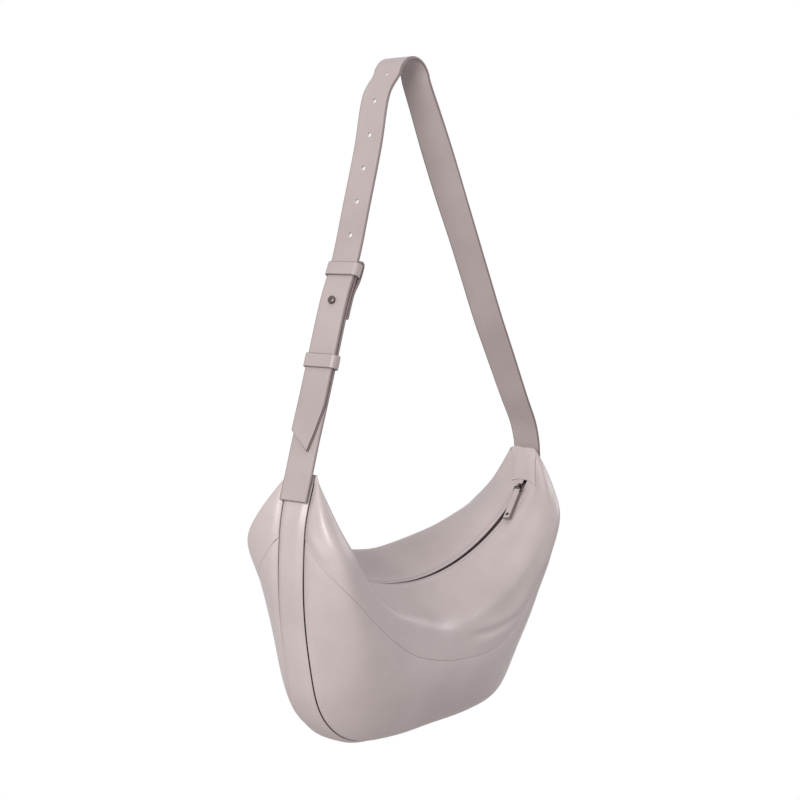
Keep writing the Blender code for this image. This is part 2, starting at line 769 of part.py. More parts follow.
class Line:
    """The smooth middle line of a flat band, read by its length. The band is wide along width."""

    def __init__(self, points, width=(0.0, 1.0, 0.0)):
        points = np.asarray(points)
        self.width = np.asarray(width)
        spans = np.maximum(np.linalg.norm(np.diff(points, axis=0), axis=1), tiny)
        knots = np.concatenate([[0.0], np.cumsum(np.sqrt(spans))])
        fine = np.array([smooth_table(k, knots, points) for k in np.linspace(0, knots[-1], line_samples)])
        self.places = fine
        self.lengths = np.concatenate([[0.0], np.cumsum(np.linalg.norm(np.diff(fine, axis=0), axis=1))])
        self.length = float(self.lengths[-1])

    def at(self, length):
        """The point at a length."""
        return np.array([np.interp(length, self.lengths, self.places[:, i]) for i in range(3)])

    def run(self, length):
        """The direction of travel at a length."""
        ahead = self.at(min(self.length, length + step / 2))
        behind = self.at(max(0.0, length - step / 2))
        return unit(ahead - behind)

    def out(self, length):
        """The side of the line turned away from the loop's inside, on the way up the stud side."""
        return unit(np.cross(self.run(length), self.width))

    def spaced(self, low, high, spacing):
        """Lengths from low to high, close together where the line bends."""
        fine = np.linspace(low, high, max(3, int((high - low) / spacing * 12)))
        runs = [self.run(length) for length in fine]
        turns = [math.acos(max(-1.0, min(1.0, float(a @ b)))) for a, b in zip(runs[:-1], runs[1:])]
        costs = [max((fine[1] - fine[0]) / spacing, turn / bend_step) for turn in turns]
        total = np.concatenate([[0.0], np.cumsum(costs)])
        count = max(1, int(round(total[-1])))
        return list(np.interp(np.linspace(0, total[-1], count + 1), total, fine))

    def length_at_height(self, height):
        """The first length at which the line reaches a height."""
        return float(self.lengths[int(np.argmax(self.places[:, 2] > height))])

    def crossings(self, place, run):
        """The lengths at which the line crosses the plane through a place, square to a direction."""
        side = (self.places - place) @ run
        found = []
        for k in range(len(side) - 1):
            if side[k] * side[k + 1] <= 0 and np.linalg.norm(self.places[k] - place) < fold_length:
                part = side[k] / (side[k] - side[k + 1])
                found.append(self.lengths[k] + part * (self.lengths[k + 1] - self.lengths[k]))
        return found


def hole_cell(bm, corners, rings):
    """The two faces and the wall of one punched cell. corners and rings each come as outer, inner."""
    sides = len(rings[0])
    quarter = sides // 4
    for corner, ring in zip(corners, rings):
        for k in range(4):
            a, b = corner[k], corner[(k + 1) % 4]
            start = k * quarter
            middle = start + quarter // 2
            for j in range(start, middle):
                bm.faces.new((a, ring[j], ring[(j + 1) % sides]))
            bm.faces.new((a, ring[middle % sides], b))
            for j in range(middle, start + quarter):
                bm.faces.new((b, ring[j % sides], ring[(j + 1) % sides]))
    for j in range(sides):
        m = (j + 1) % sides
        bm.faces.new((rings[0][j], rings[0][m], rings[1][m], rings[1][j]))


def add_band(bm, line, half_width, thickness, holes=(), twist=None, slant=0.0, spacing=None):
    """A flat band along a line, with punched holes (length and radius of each)."""
    spacing = spacing or strap_step
    marks = [0.0] + [m for length, radius in holes for m in (length - radius - hole_margin,
                                                             length + radius + hole_margin)]
    marks.append(line.length)
    stations, cells = [], {}
    for k in range(0, len(marks) - 1):
        low, high = marks[k], marks[k + 1]
        if k % 2 == 0:
            stations += line.spaced(low, high, spacing)[(0 if k == 0 else 1):]
        else:
            cells[len(stations) - 1] = holes[k // 2]
            stations.append(high)

    def place(length, across, depth):
        shift = slant * (across + 1) / 2 * max(0.0, 1 - length / strap_tail_reach)
        centre = line.at(length + shift)
        run, out = line.run(length + shift), line.out(length + shift)
        width = line.width
        if twist:
            angle = twist(length)
            width, out = (width * math.cos(angle) + out * math.sin(angle),
                          out * math.cos(angle) - width * math.sin(angle))
        return centre + width * across * half_width + out * depth * thickness / 2

    edge = [(-1, 1), (1, 1), (1, -1), (-1, -1)]
    rows = [[bm.verts.new(place(length, a, d)) for a, d in edge] for length in stations]
    for i in range(len(rows) - 1):
        for k in range(4):
            if i in cells and k in (0, 2):
                continue
            m = (k + 1) % 4
            bm.faces.new((rows[i][k], rows[i][m], rows[i + 1][m], rows[i + 1][k]))
        if i in cells:
            length, radius = cells[i]
            corners, rings = [], []
            for depth in (1, -1):
                left, right = (0, 1) if depth > 0 else (3, 2)
                corners.append([rows[i][left], rows[i][right], rows[i + 1][right], rows[i + 1][left]])
                ring = []
                for j in range(hole_sides):
                    angle = -math.pi * 0.75 + 2 * math.pi * j / hole_sides
                    ring.append(bm.verts.new(place(length + radius * math.sin(angle),
                                                   radius * math.cos(angle) / half_width, depth)))
                rings.append(ring)
            hole_cell(bm, corners, rings)
    bm.faces.new(rows[0])
    bm.faces.new(rows[-1])


def band_object(name, slot, parent, *rest, **options):
    """An object made of one band."""
    return link(name, mesh_from(name, lambda bm: add_band(bm, *rest, **options)), slot, parent)


def add_turned(bm, base, axis, profile):
    """A closed turned solid: its profile lists radius and height along the axis."""
    level = np.array([0.0, 1.0, 0.0])
    across = unit(level - axis * (axis @ level))
    third = np.cross(axis, across)
    rings = []
    for radius, height in profile:
        centre = base + axis * height
        if radius < tiny:
            rings.append([bm.verts.new(centre)])
            continue
        turns = [2 * math.pi * k / round_sides for k in range(round_sides)]
        rings.append([bm.verts.new(centre + radius * (across * math.cos(a) + third * math.sin(a)))
                      for a in turns])
    for low, high in zip(rings[:-1], rings[1:]):
        for k in range(round_sides):
            m = (k + 1) % round_sides
            if len(low) == 1:
                bm.faces.new((low[0], high[k], high[m]))
            elif len(high) == 1:
                bm.faces.new((low[k], low[m], high[0]))
            else:
                bm.faces.new((low[k], low[m], high[m], high[k]))


def turned_object(name, slot, parent, base, axis, profile):
    """An object made of one turned solid."""
    return link(name, mesh_from(name, lambda bm: add_turned(bm, base, axis, profile)), slot, parent)


def add_ring_band(bm, line, length, low, high):
    """A keeper: a flat ring round the straps, with its opening from low to high off the line."""
    half = strap_width / 2 + keeper_clearance
    inner = [(-half, low), (half, low), (half, high), (-half, high)]
    outer = []
    wall, cut = keeper_wall, keeper_corner
    for w, n, sw, sn in ((-half, low, -1, -1), (half, low, 1, -1), (half, high, 1, 1), (-half, high, -1, 1)):
        first = (w + sw * wall, n + sn * (wall - cut))
        second = (w + sw * (wall - cut), n + sn * wall)
        outer.append((first, second) if sw * sn > 0 else (second, first))
    rows = []
    centre = line.at(length)
    run, out = line.run(length), line.out(length)
    for end in (-1, 1):
        base = centre + run * end * keeper_length / 2
        across = np.array([0.0, 1.0, 0.0])
        ring_in = [bm.verts.new(base + across * w + out * n) for w, n in inner]
        ring_out = [[bm.verts.new(base + across * w + out * n) for w, n in pair] for pair in outer]
        rows.append((ring_in, ring_out))
        for k in range(4):
            m = (k + 1) % 4
            bm.faces.new((ring_in[k], ring_out[k][0], ring_out[k][1]))
            bm.faces.new((ring_in[k], ring_out[k][1], ring_out[m][0], ring_in[m]))
    for k in range(4):
        m = (k + 1) % 4
        bm.faces.new((rows[0][0][k], rows[0][0][m], rows[1][0][m], rows[1][0][k]))
        bm.faces.new((rows[0][1][k][0], rows[0][1][k][1], rows[1][1][k][1], rows[1][1][k][0]))
        bm.faces.new((rows[0][1][k][1], rows[0][1][m][0], rows[1][1][m][0], rows[1][1][k][1]))


def build_strap(parent):
    """Both straps, the keepers and the stud. Returns the lower keeper's slide direction and place."""
    route = Line(strap_route())
    lower_shift = (strap_thickness + lower_strap_thickness) / 2 + strap_gap
    stud_at = route.length_at_height(stud_height)
    stud_place, stud_out = route.at(stud_at), route.out(stud_at)
    holes = [(stud_at + k * hole_pitch, hole_radius) for k in range(hole_count)]
    arch_top = route.length_at_height(strap_rise - strap_thickness)

    def twist(length):
        part = (length - arch_top) / (route.length - arch_top)
        if part <= 0:
            return 0.0
        stations = [row[0] for row in twist_shares]
        return -strap_twist * float(smooth_table(part, stations, np.array([[row[1]] for row in twist_shares]))[0])

    band_object("long_strap", "leather", parent, route, strap_width / 2, strap_thickness, holes, twist,
                strap_tail_slant)

    # The lower strap rises under the long one, turns over the upper keeper and comes back down.
    top = route.length_at_height(fold_height)
    eye = (keeper_wall + lower_strap_thickness) / 2 + keeper_clearance
    points = end_lap(-1, lower_strap_thickness)[::-1]
    for length in np.arange(0.0, top, strap_step):
        points.append(route.at(length) - route.out(length) * lower_shift)
    base, run, out = route.at(top), route.run(top), route.out(top)
    centre = base - out * (lower_shift + eye)
    for angle in np.linspace(0.0, math.pi, arch_steps // 2 + 1):
        points.append(centre + eye * (out * math.cos(angle) + run * math.sin(angle)))
    low = top - keeper_length - keeper_clearance
    points.append(route.at(low) - route.out(low) * (lower_shift + 2 * eye))
    close = lower_shift + lower_strap_thickness + strap_gap
    for length in np.linspace(low - fold_taper, top - fold_length, 3):
        points.append(route.at(length) - route.out(length) * close)
    lower = Line(points)
    stud_run = route.run(stud_at)
    lower_holes = [(length, hole_radius) for length in lower.crossings(stud_place, stud_run)]
    band_object("lower_strap", "leather", parent, lower, strap_width / 2, lower_strap_thickness, lower_holes)

    opening_low = -(lower_shift + lower_strap_thickness / 2 + keeper_clearance)
    opening_high = strap_thickness / 2 + keeper_clearance
    keeper_at = top - keeper_length / 2
    upper = link("upper_keeper", mesh_from("upper_keeper", lambda bm: add_ring_band(
        bm, route, keeper_at, opening_low, opening_high)), "leather", parent)
    slide_at = route.length_at_height(lower_keeper_height)
    place = route.at(slide_at)
    sliding = empty_at("lower_keeper_slide", place, parent)
    keeper = link("lower_keeper", mesh_from("lower_keeper", lambda bm: add_ring_band(
        bm, route, slide_at, opening_low, opening_high)), "leather", parent)
    carry(keeper, sliding, place)

    back = -(close + lower_strap_thickness / 2)
    front = strap_thickness / 2
    meet = -lower_shift
    head = front + stud_clearance
    turned_object("strap_stud", "metal", parent, stud_place, stud_out, (
        (0.0, meet), (stud_neck_radius, meet), (stud_neck_radius, head), (stud_head_radius * 0.75, head),
        (stud_head_radius, head + stud_head_height * 0.45), (stud_head_radius * 0.8, head + stud_head_height * 0.85),
        (0.0, head + stud_head_height)))
    under = back - stud_clearance
    turned_object("stud_screw", "metal", parent, stud_place, stud_out, (
        (0.0, under - stud_screw_height), (stud_screw_radius * 0.9, under - stud_screw_height),
        (stud_screw_radius, under - stud_screw_height * 0.6), (stud_screw_radius, under),
        (stud_shank_radius, under), (stud_shank_radius, meet - stud_clearance), (0.0, meet - stud_clearance)))


def empty_at(name, place, parent):
    """An empty on a joint's axis."""
    empty = bpy.data.objects.new(name, None)
    bpy.context.scene.collection.objects.link(empty)
    empty.parent = parent
    empty.location = Vector(place)
    return empty


def carry(obj, empty, place):
    """Hand an object drawn in the bag's frame to an empty at a place in it."""
    obj.data.transform(Matrix.Translation(-Vector(place)))
    obj.parent = empty


def extruded(bm, place, axes, outline, half_width):
    """A closed solid from an outline in the first and third directions, wide along the second."""
    rows = []
    for side in (-1, 1):
        rows.append([bm.verts.new(place + axes[0] * a + axes[1] * side * half_width + axes[2] * h)
                     for a, h in outline])
    bm.faces.new(rows[0])
    bm.faces.new(rows[1])
    for k in range(len(outline)):
        m = (k + 1) % len(outline)
        bm.faces.new((rows[0][k], rows[0][m], rows[1][m], rows[1][k]))


def build_slider(parent):
    """The slider on the zip, and the leather pull on its bridge."""
    angle = zip_far_angle - slider_stop_back
    place, run, across, up = zip_frame(angle)
    turning = empty_at("zip_slider_turn", zip_centre, parent)
    axes = (run, across, up)
    half = slider_length / 2
    top_low = plate_top - slider_plate
    foot_top = teeth_low - slider_clearance
    foot_low = foot_top - slider_plate
    web = slider_web / 2
    width = slider_width / 2
    bridge_half = slider_bridge_length / 2
    bridge_top = slider_bridge_height + plate_top
    wall = slider_bridge_wall

    def plates(bm):
        profile = [(-width, plate_top), (-width, top_low), (-web, top_low), (-web, foot_top), (-width, foot_top),
                   (-width, foot_low), (width, foot_low), (width, foot_top), (web, foot_top), (web, top_low),
                   (width, top_low), (width, plate_top)]
        turned_axes = (across, run, up)
        extruded(bm, place, turned_axes, profile, half)

    def bridge(bm):
        foot = plate_top - slider_plate / 2
        arch = [(-bridge_half, foot), (-bridge_half, bridge_top - wall), (-bridge_half + wall, bridge_top),
                (bridge_half - wall, bridge_top), (bridge_half, bridge_top - wall), (bridge_half, foot),
                (bridge_half - wall, foot), (bridge_half - wall, bridge_top - wall),
                (wall - bridge_half, bridge_top - wall), (wall - bridge_half, foot)]
        extruded(bm, place, axes, arch, slider_bridge_width / 2)

    slider = link("zip_slider", mesh_from("zip_slider", plates), "metal", parent, smooth=False)
    carry(slider, turning, zip_centre)
    arch = link("slider_bridge_tool", mesh_from("slider_bridge_tool", bridge), "metal", parent, smooth=False)
    carry(arch, turning, zip_centre)
    arch.hide_render = True
    arch.display_type = "WIRE"
    join = slider.modifiers.new("bridge", "BOOLEAN")
    join.operation = "UNION"
    join.solver = "EXACT"
    join.object = arch

    hinge = place + up * pull_hinge_height
    level = -run * math.cos(pull_yaw) - across * math.sin(pull_yaw)
    side = across * math.cos(pull_yaw) - run * math.sin(pull_yaw)
    lie = level * math.cos(pull_lift) + up * math.sin(pull_lift)
    rise = up * math.cos(pull_lift) - level * math.sin(pull_lift)
    swing = empty_at("zip_pull_swing", hinge - zip_centre, turning)
    wire = pull_wire / 2
    reach = pull_link_width / 2
    link_end = pull_link_length - pull_wire

    def ring(bm):
        loops = []
        for margin in (0.0, pull_wire):
            a, b = -wire + margin, link_end + wire - margin
            w = reach - margin
            loops.append([(a, -w), (b, -w), (b, w), (a, w)])
        rows = []
        for height in (-wire, wire):
            for loop in loops:
                rows.append([bm.verts.new(hinge + lie * a + side * w + rise * height) for a, w in loop])
        low_out, low_in, high_out, high_in = rows
        for k in range(4):
            m = (k + 1) % 4
            bm.faces.new((low_out[k], low_out[m], low_in[m], low_in[k]))
            bm.faces.new((high_out[k], high_out[m], high_in[m], high_in[k]))
            bm.faces.new((low_out[k], low_out[m], high_out[m], high_out[k]))
            bm.faces.new((low_in[k], low_in[m], high_in[m], high_in[k]))

    pull_link = link("zip_pull_link", mesh_from("zip_pull_link", ring), "metal", parent, smooth=False)
    carry(pull_link, swing, hinge)

    # The pull's leather runs from its end up to the link, round it and back.
    eye = (pull_eye + pull_layer) / 2
    layer = (pull_layer + stud_clearance) / 2
    end = link_end + pull_tab_length
    turn_at = hinge + lie * link_end
    points = []
    for a, h in ((end, layer), (link_end + pull_tab_length / 2, layer), (link_end + 4 * eye, layer),
                 (link_end + 2 * eye, eye * 0.8)):
        points.append((a, h))
    for turn in np.linspace(math.pi * 0.5, math.pi * 1.5, 7):
        points.append((link_end + eye * math.cos(turn), eye * math.sin(turn)))
    mirrored_points = [(a, -h) for a, h in points[:4]][::-1]
    points += mirrored_points
    line = Line([hinge + lie * a + rise * h for a, h in points], side)
    pins = [(pull_rivet_back, pull_pin_hole_radius), (line.length - pull_rivet_back, pull_pin_hole_radius)]

    tab = link("zip_pull_tab", mesh_from("zip_pull_tab", lambda bm: add_band(
        bm, line, pull_tab_width / 2, pull_layer, pins, spacing=pull_step)), "edge_leather", parent)
    carry(tab, swing, hinge)
    pin_place = hinge + lie * (end - pull_rivet_back)
    face = layer + pull_layer / 2 + stud_clearance
    rivet = link("zip_pull_rivet", mesh_from("zip_pull_rivet", lambda bm: add_turned(bm, pin_place, rise, (
        (0.0, -face - pull_rivet_height), (pull_rivet_radius * 0.8, -face - pull_rivet_height),
        (pull_rivet_radius, -face), (pull_pin_radius, -face), (pull_pin_radius, face),
        (pull_rivet_radius, face), (pull_rivet_radius * 0.8, face + pull_rivet_height),
        (0.0, face + pull_rivet_height)))), "metal", parent)
    carry(rivet, swing, hinge)


def clear_scene():
    for obj in list(bpy.data.objects):
        bpy.data.objects.remove(obj, do_unlink=True)


def build_frame():
    """The empty that hangs the level bag from the top of its strap."""
    hang = bpy.data.objects.new("bag_hang", None)
    bpy.context.scene.collection.objects.link(hang)
    turn = Matrix.Rotation(hang_tilt, 4, "Y")
    top = Vector((strap_peg_offset, 0.0, strap_rise - strap_thickness / 2))
    hang.matrix_world = turn @ Matrix.Translation(-top)
    return hang


def main():
    clear_scene()
    hang = build_frame()
    build_body(hang)
    build_linings(hang)
    build_facings(hang)
    build_zip(hang)
    build_strap(hang)
    build_slider(hang)
    bpy.context.view_layer.update()


main()
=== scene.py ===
"""Looks of the soft crescent shoulder bag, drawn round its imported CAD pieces.

Lengths are metres and angles radians. The shapes are worked out in the bag's own level frame, whose
zero is the middle of the line between the strap's two ends. Each finished mesh is then turned into
the row frame, where the bag hangs from the top of its strap with a slight tilt. Every leather piece
is a fine grid laid over the same sections as the CAD walls, with the folds, rolled seams and hollows
that hanging leather takes.
"""
import math

import bpy
import numpy as np
from mathutils import Matrix, Vector


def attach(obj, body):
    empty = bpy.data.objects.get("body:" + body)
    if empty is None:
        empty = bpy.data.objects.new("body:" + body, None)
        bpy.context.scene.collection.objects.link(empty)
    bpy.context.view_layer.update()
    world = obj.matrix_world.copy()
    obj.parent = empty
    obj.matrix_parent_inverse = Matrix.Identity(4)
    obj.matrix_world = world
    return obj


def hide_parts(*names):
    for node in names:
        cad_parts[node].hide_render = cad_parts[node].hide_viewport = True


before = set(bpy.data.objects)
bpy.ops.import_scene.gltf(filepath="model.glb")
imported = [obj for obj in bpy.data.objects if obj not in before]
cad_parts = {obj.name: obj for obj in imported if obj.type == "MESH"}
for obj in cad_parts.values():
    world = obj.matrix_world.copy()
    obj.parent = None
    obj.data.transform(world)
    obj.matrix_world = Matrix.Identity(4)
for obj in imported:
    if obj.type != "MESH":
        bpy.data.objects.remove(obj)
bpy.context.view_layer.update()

# Bag body, with the CAD part's own sizes. A side is -1 at the front and 1 at the back.
bag_half_length = 0.175
half_widths = {-1: 0.048, 1: 0.052}
bag_depth = 0.232
leather = 0.0016
seam_gap = 0.0004
horn_thickness = 0.0044
horn_bend = 0.45
gusset_half_width = 0.0130
gusset_bottom_half_width = 0.0150
lean_share = 0.068
hang_tilt = math.radians(3.1)
zip_radius = 1.1714 * bag_half_length
zip_drop = 0.4655 * bag_depth
zip_offset = -0.012
zip_back_shift = 0.006
zip_lean = math.radians(-4.0)
zip_yaw = math.radians(-4.5)
zip_near_angle = math.radians(-45.0)
zip_far_angle = math.radians(52.0)
zip_slot = 0.0042
zip_margin = 0.0075
zip_end_share = 0.19
slot_end_share = 0.17
tape_thickness = 0.0006
tape_drop = 0.0039
lining_depth = 0.0060
lining_thickness = 0.0008
lining_slack = 0.0012
slack_span = 0.03
lining_end = 1.30
lining_hem = 0.012
facing_gap = 0.0005
facing_thickness = 0.0010
facing_half_width = 0.0130

# Straps, keepers, stud and pull, with the CAD part's own sizes
strap_width = 0.0280
strap_thickness = 0.0030
lower_strap_thickness = 0.0026
strap_half_span = 0.96 * bag_half_length
strap_rise = 0.341
strap_peg_offset = -0.051
strap_arch_radius = 0.021
strap_arch_turn = math.pi * 0.42
strap_gap = 0.0004
strap_twist = math.radians(22.0)
hole_pitch = 0.0285
hole_radius = 0.0022
hole_count = 8
fold_height = 0.1685
fold_length = 0.046
fold_taper = 0.012
stud_height = fold_height - 0.0315
keeper_length = 0.0115
keeper_wall = 0.0015
keeper_clearance = 0.0006
keeper_corner = 0.0030
keeper_edge = keeper_wall * 0.42
keeper_crown = 0.00006
lower_keeper_height = 0.089
pull_hinge_height = 0.0042
pull_wire = 0.0010
pull_link_length = 0.0066
pull_tab_length = 0.0350
pull_tab_width = 0.0066
pull_layer = 0.0009
pull_eye = 0.0017
pull_gap = 0.0003
pull_rivet_inset = 0.0040
pull_corner = 0.00038
pull_lift = math.radians(7.5)
pull_yaw = math.radians(15.0)
slider_stop_back = math.radians(2.6)
metal_gap = 0.0003

# How the straps are drawn inside their solids: the share of their thickness, the laps on the horns,
# the skived ends, and the tail's point, whose tip lies at a share of the half width
strap_drawn = 0.86
strap_end_lap = 0.0215
lap_gap = 0.0006
lap_blend = 0.010
route_step = 0.008
skive_depth = 0.62
skive_length = 0.020
strap_corner = 0.0011
strap_crown = 0.0001
tail_tip = -0.50
tail_slant = 0.0160
tail_taper = 0.0380
tail_reach = 0.0600

# Seams and edges of the drawn leather. The gusset's lines are the gaps beside it, front and back, dark
# with shade and with painted shade on their walls; a roll is the radius of an edge, and a valley is how
# far the leather is drawn in at a seam.
seam_line = 0.00008
seam_tip_gap = 0.002
gusset_lines = {-1: 0.0010, 1: 0.0017}
yoke_roll = 0.0004
yoke_valley = 0.00025
gusset_roll = 0.0010
gusset_valley = 0.0023
gusset_mitre = 0.004
gusset_touch = 0.002
gusset_crown = 0.0007
crown_fade = 0.12
valley_reach = 0.0036
mouth_roll = 0.0007
folded_edge = 0.0005
folded_width = 0.0056
folded_step = 0.0009
facing_roll = 0.0009
facing_rise = 0.0012
facing_narrowing = 0.90
facing_edge = 0.0002
stitch_inset = 0.0040
stitch_pitch = 0.0034
stitch_stop = 0.005
thread_radius = 0.00030
thread_share = 0.42

# The slack leather's faint swell, which calms down by the seams, where less is left of a fold too
swell_height = 0.00045
swell_span = 0.075
calm_reach = 0.014
fold_left_at_seam = 0.35

# Turned metal pieces: radius and height in millimetres, from the face that each lies on
stud_head = ((1.5, -0.2), (1.9, 0.0), (2.4, 0.1), (3.0, 0.6), (3.4, 1.3), (3.4, 1.9), (3.0, 2.6),
             (2.0, 3.0), (0.0, 3.1))
screw_head = ((0.0, -1.2), (3.0, -1.2), (3.6, -0.9), (3.8, -0.4), (3.7, 0.0), (1.4, 0.0))
rivet_head = ((0.8, 0.0), (1.7, 0.0), (1.6, 0.2), (1.1, 0.6), (0.0, 0.7))

# Stations run from a horn (0) to the middle of the bag (1). Each line of the bag's side is given at
# them in shares of the half length, of the half width where it has one, and of the depth.
section_stations = (0.00, 0.10, 0.19, 0.30, 0.43, 0.57, 0.72, 0.86, 1.00)
gusset_shares = (
    (0.954, 0.997, 0.994, 0.969, 0.903, 0.803, 0.600, 0.295, 0.000),
    (0.000, -0.147, -0.280, -0.444, -0.640, -0.846, -0.977, -1.006, -1.006),
)
cheek_shares = (
    (0.950, 0.994, 0.986, 0.932, 0.842, 0.732, 0.558, 0.285, 0.000),
    (0.300, 0.440, 0.640, 0.640, 0.640, 0.640, 0.640, 0.660, 0.680),
    (0.000, -0.142, -0.267, -0.418, -0.590, -0.794, -0.928, -0.962, -0.960),
)
belly_shares = {-1: (
    (0.941, 0.977, 0.949, 0.869, 0.760, 0.617, 0.438, 0.220, 0.000),
    (0.305, 0.640, 0.940, 1.000, 1.000, 1.000, 1.000, 1.000, 1.000),
    (0.000, -0.138, -0.250, -0.388, -0.534, -0.662, -0.745, -0.780, -0.785),
), 1: (
    (0.941, 0.985, 0.962, 0.865, 0.755, 0.612, 0.434, 0.217, 0.000),
    (0.298, 0.700, 1.000, 0.930, 0.910, 0.940, 0.970, 0.980, 0.980),
    (0.000, -0.138, -0.250, -0.388, -0.534, -0.659, -0.733, -0.767, -0.776),
)}
ridge_shares = {-1: (
    (0.931, 0.914, 0.840, 0.677, 0.523, 0.366, 0.217, 0.103, 0.000),
    (0.300, 0.660, 0.840, 0.920, 0.940, 0.920, 0.900, 0.880, 0.880),
    (0.000, -0.142, -0.246, -0.388, -0.483, -0.534, -0.569, -0.595, -0.606),
), 1: (
    (0.931, 0.922, 0.828, 0.665, 0.503, 0.352, 0.210, 0.100, 0.000),
    (0.290, 0.610, 0.830, 0.900, 0.910, 0.930, 0.940, 0.950, 0.950),
    (0.000, -0.146, -0.230, -0.279, -0.308, -0.326, -0.339, -0.348, -0.352),
)}
shoulder_shares = (0.28, 0.64, 0.28)
# The yoke seam's share up the side, and how far the gusset and the cheeks are drawn along the bag
near_seam_shares = (
    (0.145, 0.000), (0.19, 0.108), (0.24, 0.200), (0.30, 0.278), (0.43, 0.402), (0.57, 0.476),
    (0.72, 0.492), (0.86, 0.486), (1.00, 0.472),
)
far_seam_shares = (
    (0.145, 0.000), (0.19, 0.115), (0.24, 0.210), (0.30, 0.285), (0.43, 0.365), (0.57, 0.398),
    (0.72, 0.428), (0.86, 0.458), (1.00, 0.472),
)
near_draw_shares = (
    (0.00, 0.000), (0.19, 0.000), (0.30, 0.000), (0.43, 0.000), (0.57, 0.010), (0.72, 0.040),
    (0.86, 0.030), (1.00, 0.000),
)
far_draw_shares = (
    (0.00, 0.000), (0.19, 0.000), (0.30, -0.015), (0.43, -0.035), (0.57, -0.035), (0.72, 0.020),
    (0.86, 0.040), (1.00, 0.000),
)
# The long strap's way up from its tail and down to its sewn end, in shares of its half span and rise,
# and its twist on the way down
near_route_shares = (
    (-0.996, 0.055), (-0.924, 0.170), (-0.868, 0.264), (-0.784, 0.404), (-0.702, 0.506),
    (-0.636, 0.626), (-0.558, 0.772), (-0.500, 0.905),
)
far_route_shares = (
    (-0.090, 0.880), (0.036, 0.778), (0.160, 0.678), (0.285, 0.580), (0.412, 0.478),
    (0.543, 0.372), (0.690, 0.264), (0.845, 0.150), (0.955, 0.072), (0.998, 0.020),
)
twist_shares = (
    (0.00, 0.00), (0.12, 0.35), (0.25, 1.00), (0.45, 0.70), (0.65, 0.68), (0.85, 0.30), (1.00, 0.00),
)

# Folds of the slack leather: the side, the stations and shares that it runs through, its height, its
# reach below and above, the share of its length over which each end fades out, and the radius of its
# edge where it is crisp.
folds = (
    # the roll over which the folded-in top turns down
    (-1, ((-0.62, 0.60), (-0.45, 0.68), (-0.28, 0.715), (-0.02, 0.705), (0.18, 0.665), (0.30, 0.63)),
     0.0015, 0.014, 0.012, 0.30, 0.0034),
    # the crease that carries it on to the far end, and the hollow below that crease
    (-1, ((0.08, 0.612), (0.20, 0.592), (0.319, 0.535), (0.40, 0.476), (0.494, 0.408), (0.60, 0.36)),
     0.0024, 0.006, 0.020, 0.28, 0.0020),
    (-1, ((0.08, 0.585), (0.20, 0.565), (0.319, 0.510), (0.40, 0.452), (0.494, 0.385), (0.60, 0.34)),
     -0.0020, 0.0045, 0.0045, 0.28),
    # the short rib beside the gusset and the long roll below the near horn
    (-1, ((-0.905, 0.04), (-0.869, 0.09), (-0.82, 0.16), (-0.775, 0.235)),
     0.0018, 0.005, 0.004, 0.35, 0.0012),
    (-1, ((-0.985, 0.12), (-0.92, 0.33), (-0.86, 0.42), (-0.79, 0.46), (-0.72, 0.47)),
     0.0016, 0.009, 0.008, 0.30, 0.0020),
    # soft dents of the back
    (1, ((-0.80, 0.30), (-0.50, 0.42), (-0.10, 0.46), (0.35, 0.42)), -0.0009, 0.022, 0.022, 0.3),
    (1, ((0.10, 0.30), (0.40, 0.26), (0.65, 0.22)), 0.0010, 0.018, 0.014, 0.3),
)

# Counts and steps of the grids, and how much closer their rows lie by the edges of a wall
grid_stations = 321
grid_samples = 221
arc_samples = 13
seam_stations = 301
end_stations = 26
panel_rows = 76
yoke_rows = 96
gusset_rows = 26
facing_stations = 44
facing_rows = 26
cloth_stations = 150
cloth_rows = 40
tape_stations = 260
tape_rows = 12
fold_samples = 90
line_samples = 1400
strap_step = 0.0015
pull_step = 0.0006
evening_rounds = 34
facing_rounds = 8
lap_stations = np.linspace(1.0, 0.80, 40)
wall_tightness = 0.86
gusset_tightness = 0.8
station_step = 0.004
keeper_samples = 120
arch_samples = 11
hole_sides = 36
spin_steps = 48
cap_angles = (30, 60, 85)

# Stage and camera, which stands where the photograph was taken from
floor_radius = 0.92
floor_height = -1.05
surround_strength = 0.39
stage_middle = Vector((0.03, 0.0, -0.33))
softboxes = (
    ("key_softbox", (-1.90, -0.62, 0.72), 0.9, 37.0),
    ("side_softbox", (1.70, -0.84, 0.50), 0.6, 7.0),
    ("top_softbox", (-0.5, -0.5, 1.9), 1.4, 7.0),
)
camera_lens = 69.03
camera_place = (-1.04682, -0.78651, -0.13674)
camera_right = (0.6018150, -0.7986355, 0.0)
camera_up = (0.0904081, 0.0681274, 0.9935719)
camera_behind = (-0.7935018, -0.5979465, 0.1132032)


# ---- Curves and directions
def unit(vectors):
    """Vectors along the last axis, made one long."""
    return vectors / np.maximum(np.linalg.norm(vectors, axis=-1, keepdims=True), 1e-12)


def eased(value):
    """A value from 0 to 1 made to start and stop gently."""
    value = np.clip(value, 0, 1)
    return value * value * (3 - 2 * value)


def leaned(first, second, angle):
    """A direction turned from the first by an angle towards the second, which is square to it."""
    return first * math.cos(angle) + second * math.sin(angle)


def turned_to(way, other, part):
    """Directions turned towards others by a part from 0 to 1."""
    part = part[..., None]
    return unit(way * (1 - part) + other * part)


